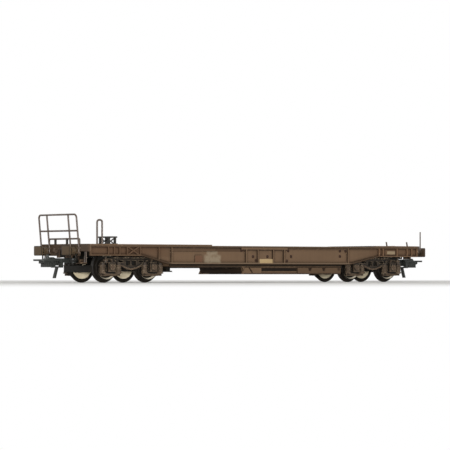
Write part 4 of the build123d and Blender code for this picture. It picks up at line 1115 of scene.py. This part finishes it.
def add_bogie_fittings():
    """Bolts on the axlebox covers and frames, and coil springs round the spring pots."""
    for end, outwards in ENDS.items():
        pivot = outwards * PIVOT_X
        bolts, springs = [], []
        for side in BOTH:
            out = (0, side, 0)
            for axle in (pivot - AXLE_DX, pivot + AXLE_DX):
                for quarter in range(4):
                    angle = math.radians(45 + 90 * quarter)
                    x = axle + COVER_BOLT_R * math.cos(angle)
                    z = AXLE_HIGH + COVER_BOLT_R * math.sin(angle)
                    bolts.append((over_rail(x, side * COVER_FACE, z), out))
                springs += [
                    (over_rail(axle + dx, side * POT_Y, SPRING_FOOT), UP) for dx in (-POT_DX, POT_DX)
                ]
            y = side * FRAME_BOLT_Y
            bolts += [(over_rail(pivot + x, y, FRAME_BOLT_HIGH), out) for x in spaced(*FRAME_BOLTS)]
        body = f"bogie_{end}"
        piece = heads(f"{body}_bolts", bolts, "bogie_brown", sides=6, radius=0.2, height=0.1)
        seat(piece, "bogie_brown", body=body)
        spots = facing_points(f"{body}_spring_places", springs)
        piece = grow(f"{body}_springs", spots, SPRINGS, "bogie_brown", SPRING_COUNTS, **SPRING_SIZES)
        seat(piece, "bogie_brown", body=body)


COLLAR = (                      # collar round a spring pot: radius, distance up
    (1.0, 0.0), (1.28, 0.0), (1.34, 0.06), (1.34, 0.3), (1.28, 0.36), (1.0, 0.36),
)
COLLAR_LOWS = (2.8, 5.75)
STAND = (                       # stand over an outer spring pot: radius, height
    (0.0, 6.9), (0.8, 6.9), (0.85, 7.1), (0.85, 7.6), (1.0, 7.8), (1.0, 8.15),
    (0.6, 8.3), (0.48, 8.5), (0.48, 9.4), (0.0, 9.4),
)
STAND_X, STAND_Y = 13.3, 13.3
BRACKET = ((9.95, 8.4), (9.1, 6.5), (9.6, 6.5), (10.5, 8.4))    # on the frame: distance from the pin, height
BRACKET_Y = (12.3, 12.95)
GUARD = (                       # dark plate outside a wheel: distance from the pin, height
    (5.0, 7.9), (15.4, 7.9), (15.4, 9.2), (15.0, 9.6), (5.4, 9.6), (5.0, 9.2),
)
GUARD_Y = (10.4, 10.9)
COVER = (                       # brake plate inside a wheel: distance along from the axle, height
    (-5.2, 5.7), (-1.5, 5.7), (-1.3, 7.0), (1.3, 7.0), (1.5, 5.7),
    (5.2, 5.7), (5.2, 7.2), (3.6, 8.9), (-3.6, 8.9), (-5.2, 7.2),
)
COVER_Y = (6.3, 6.75)
ROD = (                         # rod under an axlebox, from its axle
    (-4.9, 13.4, 2.95), (-3.2, 13.7, 2.55), (0.0, 13.8, 2.3), (3.2, 13.7, 2.55), (4.9, 13.4, 2.95),
)


def side_slab(bm, outline, side, reach, middle=0.0, way=1):
    """A slab on one side, from an outline whose distances along run one way from a middle."""
    slab(bm, [(middle + way * x, z) for x, z in outline], *sorted(side * y for y in reach))


def add_bogie_stands():
    """Collars on the spring pots, stands at the outer ends, brackets, plates and the axleboxes' rods."""
    for end, outwards in ENDS.items():
        pivot = outwards * PIVOT_X
        frames, plates = bmesh.new(), bmesh.new()
        rods = []
        for side in BOTH:
            for axle in (pivot - AXLE_DX, pivot + AXLE_DX):
                for dx in (-POT_DX, POT_DX):
                    for height in COLLAR_LOWS:
                        foot = over_rail(axle + dx, side * POT_Y, height)
                        turn(frames, COLLAR, foot, UP, POT_STEPS, closed=True)
                rods.append([over_rail(axle + x, side * y, z) for x, y, z in ROD])
                side_slab(plates, COVER, side, COVER_Y, axle)
            stand = over_rail(pivot + outwards * STAND_X, side * STAND_Y, 0)
            turn(frames, STAND, stand, UP, POT_STEPS)
            for way in BOTH:
                side_slab(frames, BRACKET, side, BRACKET_Y, pivot, way)
                side_slab(plates, GUARD, side, GUARD_Y, pivot, way)
        body = f"bogie_{end}"
        seat(flat_faced(f"{body}_brake_plates", plates, "bogie_dark"), "bogie_dark", body=body)
        seat(soften(from_bmesh(f"{body}_stands", frames, "bogie_brown")), "bogie_brown", body=body)
        seat(wire(f"{body}_rods", rods, ROD_R, "bogie_brown"), "bogie_brown", body=body)


# ---- floors and decks --------------------------------------------------------------------
FLOOR_FRONT = (-44.4, -9.4, 5.9)                # front floor of the pocket: from x, to x, upper face
FLOOR_SUNK = (-8.0, 42.5, 3.4)
FLOORS = (FLOOR_FRONT, FLOOR_SUNK)
POCKET_HALF = 14.0
SEAM_Y = 4.7
SEAM_PITCH = 12.0
SEAM_TOP = 12.9
SEAM_STOPS = 0.4                # a cross seam stops so far from the walls
SEAM_STARTS = 0.2               # an upright seam starts so far over the floor
DECK_SEAMS = ((-62.8, -47.0), (48.0, 62.8))
DECK_SEAMS_Y = (-7.0, 0.0, 7.0)
PLATFORM_SEAMS = (-73.6, 74.5)
PLATFORM_SEAM_HALF = 15.0
KERB_Y = (10.2, 10.9)
KERB_HIGH = 0.55
KERB_ENDS = (1.0, 1.8)          # how far a kerb's foot and top stay from the floor's ends
LIDS = (                        # lids on decks and floor: x, half length, half width, face that they lie on
    (-55.0, 3.2, 4.2, DECK_LOW), (55.5, 3.2, 4.2, DECK_LOW), (-18.0, 3.0, 3.4, FLOOR_FRONT[2]),
)
LID_THICK = 0.12
LID_BOLTS = (0.5, 1.6)          # bolts of a lid: from its edge, pitch
FLOOR_BOLTS = (12.6, 2.0, 5.5)  # bolts beside a kerb: from the middle, from the floor's ends, pitch
RING_X = (-38.0, -26.0, -14.0, 6.0, 20.0, 34.0)     # lashing rings inside the pocket
RING_Y, RING_TOP = 13.75, 11.4
RING_HALF, RING_HIGH, RING_BEND = 0.75, 1.6, 0.42


def line_mesh(name, lines):
    """A mesh of loose edges from pairs of points."""
    mesh = bpy.data.meshes.new(name)
    points = [tuple(point) for line in lines for point in line]
    mesh.from_pydata(points, [(k, k + 1) for k in range(0, len(points), 2)], [])
    return mesh


def add_floor_seams():
    """Weld beads on the pocket's floors and walls and on the decks."""
    lines = []
    for start, end, z in FLOORS:
        lines += [((start, y, z), (end, y, z)) for y in (-SEAM_Y, SEAM_Y)]
        for x in spaced(start, end, SEAM_PITCH)[1:-1]:
            lines.append(((x, -POCKET_HALF + SEAM_STOPS, z), (x, POCKET_HALF - SEAM_STOPS, z)))
            lines += [((x, y, z + SEAM_STARTS), (x, y, SEAM_TOP)) for y in (-POCKET_HALF, POCKET_HALF)]
    for start, end in DECK_SEAMS:
        lines += [((start, y, DECK_LOW), (end, y, DECK_LOW)) for y in DECK_SEAMS_Y]
    half = PLATFORM_SEAM_HALF
    lines += [((x, -half, DECK_HIGH), (x, half, DECK_HIGH)) for x in PLATFORM_SEAMS]
    places = line_mesh("weld_lines", [[over_rail(*place) for place in line] for line in lines])
    piece = grow("weld_seams", places, SEAMS, "body_brown", {"Ripple": 0.3}, Radius=0.13, Pitch=0.45)
    seat(piece, "body_brown")


def add_pocket_fittings():
    """Kerbs on the pocket's floors, lashing rings, lids and their bolts."""
    bm = bmesh.new()
    bolts = []
    for start, end, z in FLOORS:
        foot, top = z - SUNK_IN, z + KERB_HIGH
        foot_in, top_in = KERB_ENDS
        kerb = [(start + foot_in, foot), (start + top_in, top), (end - top_in, top), (end - foot_in, foot)]
        for side in BOTH:
            side_slab(bm, kerb, side, KERB_Y)
            y, inset, pitch = FLOOR_BOLTS
            row = spaced(start + inset, end - inset, pitch)
            bolts += [(over_rail(x, side * y, z), UP) for x in row]
    for x, long, wide, z in LIDS:
        top = z + LID_THICK
        blocks(bm, [((x - long, -wide, z - SUNK_IN), (x + long, wide, top))])
        inset, pitch = LID_BOLTS
        for place in (x - long + inset, x + long - inset):
            bolts += [(over_rail(place, y, top), UP) for y in spaced(inset - wide, wide - inset, pitch)]
    seat(flat_faced("pocket_kerbs", bm, "body_brown"), "body_brown")
    seat(heads("pocket_bolts", bolts, "rust_dark", sides=6, radius=0.24, height=0.14), "body_brown")
    rings = []
    for side in BOTH:
        for x in RING_X:
            ends = [over_rail(place, side * RING_Y, RING_TOP) for place in (x - RING_HALF, x + RING_HALF)]
            rings.append(hoop(*ends, -UP * RING_HIGH * MM, RING_BEND * MM, steps=4))
    seat(wire("lashing_rings", rings, ROD_R, "rust_dark"), "body_brown")


TREAD_FIELDS = {                # node: x middle, length, width of the tread plate
    "deck_a": (-80.6, 12.0, 26.4),
    "deck_b": (75.0, 22.4, 30.0),
}
TREAD_SIZES = {"Pitch": 0.8, "Bar": 0.62, "Height": 0.05}


def add_tread_plate():
    """Tread plate on the end platforms, laid as raised bars."""
    for node, (x, length, width) in TREAD_FIELDS.items():
        name = f"{node}_tread"
        spot = facing_points(f"{name}_place", [(over_rail(x, 0, DECK_HIGH), UP)])
        piece = grow(name, spot, TREAD, "body_brown", Length=length, Width=width, **TREAD_SIZES)
        seat(piece, "body_brown")


# ---- studio ------------------------------------------------------------------------------
VIEW_AZIMUTH = math.radians(38.13)              # off the wagon's side, towards end a
VIEW_RISE = math.radians(-0.98)                 # the camera stands near the floor and looks slightly up
VIEW_DISTANCE = 1.16833                         # metres
VIEW_TARGET = mm(-6.77, 0.0, 23.95)             # from the wagon's origin
LENS = 223.6
SENSOR = 36.0


def add_camera():
    """The camera low beside the wagon's end a."""
    level = math.cos(VIEW_RISE)
    back = Vector((
        -math.sin(VIEW_AZIMUTH) * level, -math.cos(VIEW_AZIMUTH) * level, math.sin(VIEW_RISE),
    ))
    camera = link("camera", bpy.data.cameras.new("camera"))
    camera.location = VIEW_TARGET + back * VIEW_DISTANCE
    camera.rotation_euler = (-back).to_track_quat("-Z", "Y").to_euler()
    camera.data.lens = LENS
    camera.data.sensor_width = SENSOR
    camera.data.clip_start = 0.01
    bpy.context.scene.camera = camera


LAMPS = {                       # name: place in metres, size, watts
    "key": ((-0.25, -1.1, 0.75), (0.9, 0.9), 3.85),
    "low": ((-0.7, -0.9, 0.045), (0.36, 0.08), 9.6),
    "fill": ((-1.3, -0.5, 0.7), (1.0, 1.0), 2.2),
    "back": ((0.2, 1.2, 1.0), (1.2, 1.2), 5.4),
}
WORLD_LIGHT = 0.32
FLOOR_HALF = 6.0                # metres
FLOOR_FADE = (0.14, 0.42)       # the floor turns to the white of the surround over these distances
WHITE = (1.0, 1.0, 1.0, 1.0)


def seen_directly(tree):
    """One where the camera or a reflection sees the surface, and nothing for its light."""
    rays = add(tree, "ShaderNodeLightPath").outputs
    return calc(tree, "MAXIMUM", rays["Is Camera Ray"], rays["Is Glossy Ray"])


def add_studio():
    """A pale floor, soft lamps and a white surround."""
    tree, shader = new_material("studio_floor")
    place = object_place(tree)
    shade = span(tree, noise(tree, place, 30.0), *MIDDLE)
    tint = blend(tree, shade, paint(232, 230, 226), paint(238, 236, 232))
    put(tree, shader.inputs["Base Color"], tint)
    shader.inputs["Roughness"].default_value = 0.85
    away = fill(tree, add(tree, "ShaderNodeVectorMath", {"operation": "LENGTH"}), place)["Value"]
    far = times(tree, span(tree, away, *FLOOR_FADE), seen_directly(tree))
    white = add(tree, "ShaderNodeEmission").outputs[0]
    either = fill(tree, add(tree, "ShaderNodeMixShader"), far, shader.outputs[0], white)[0]
    put(tree, tree.nodes["Material Output"].inputs["Surface"], either)
    bm = bmesh.new()
    bmesh.ops.create_grid(bm, x_segments=1, y_segments=1, size=FLOOR_HALF)
    flat_faced("floor", bm, "studio_floor")
    for name, (place, size, watts) in LAMPS.items():
        lamp = bpy.data.lights.new(name, "AREA")
        lamp.shape = "RECTANGLE"
        lamp.size, lamp.size_y = size
        lamp.energy = watts
        stand = link(name, lamp)
        stand.location = place
        stand.rotation_euler = (-Vector(place)).to_track_quat("-Z", "Y").to_euler()
    world = bpy.data.worlds.new("surround")
    bpy.context.scene.world = world
    world.use_nodes = True
    tree = world.node_tree
    strength = span(tree, seen_directly(tree), 0.0, 1.0, WORLD_LIGHT, 1.0)
    surround = tree.nodes["Background"]
    put(tree, surround.inputs["Strength"], strength)
    surround.inputs["Color"].default_value = WHITE
    bpy.context.scene.view_settings.view_transform = "Standard"


finish_nodes()
add_camera()
add_wheels()
add_railing()
add_stop_bar()
add_grab_rail()
add_buffers()
add_sill_rivets()
add_plates()
add_shunter_grips()
for end, outwards in ENDS.items():
    add_draw_hook(end, outwards)
    add_coupler_trim(end, outwards)
add_bulkhead()
add_corner_steps()
add_bogie_fittings()
add_bogie_stands()
add_floor_seams()
add_pocket_fittings()
add_tread_plate()
add_studio()
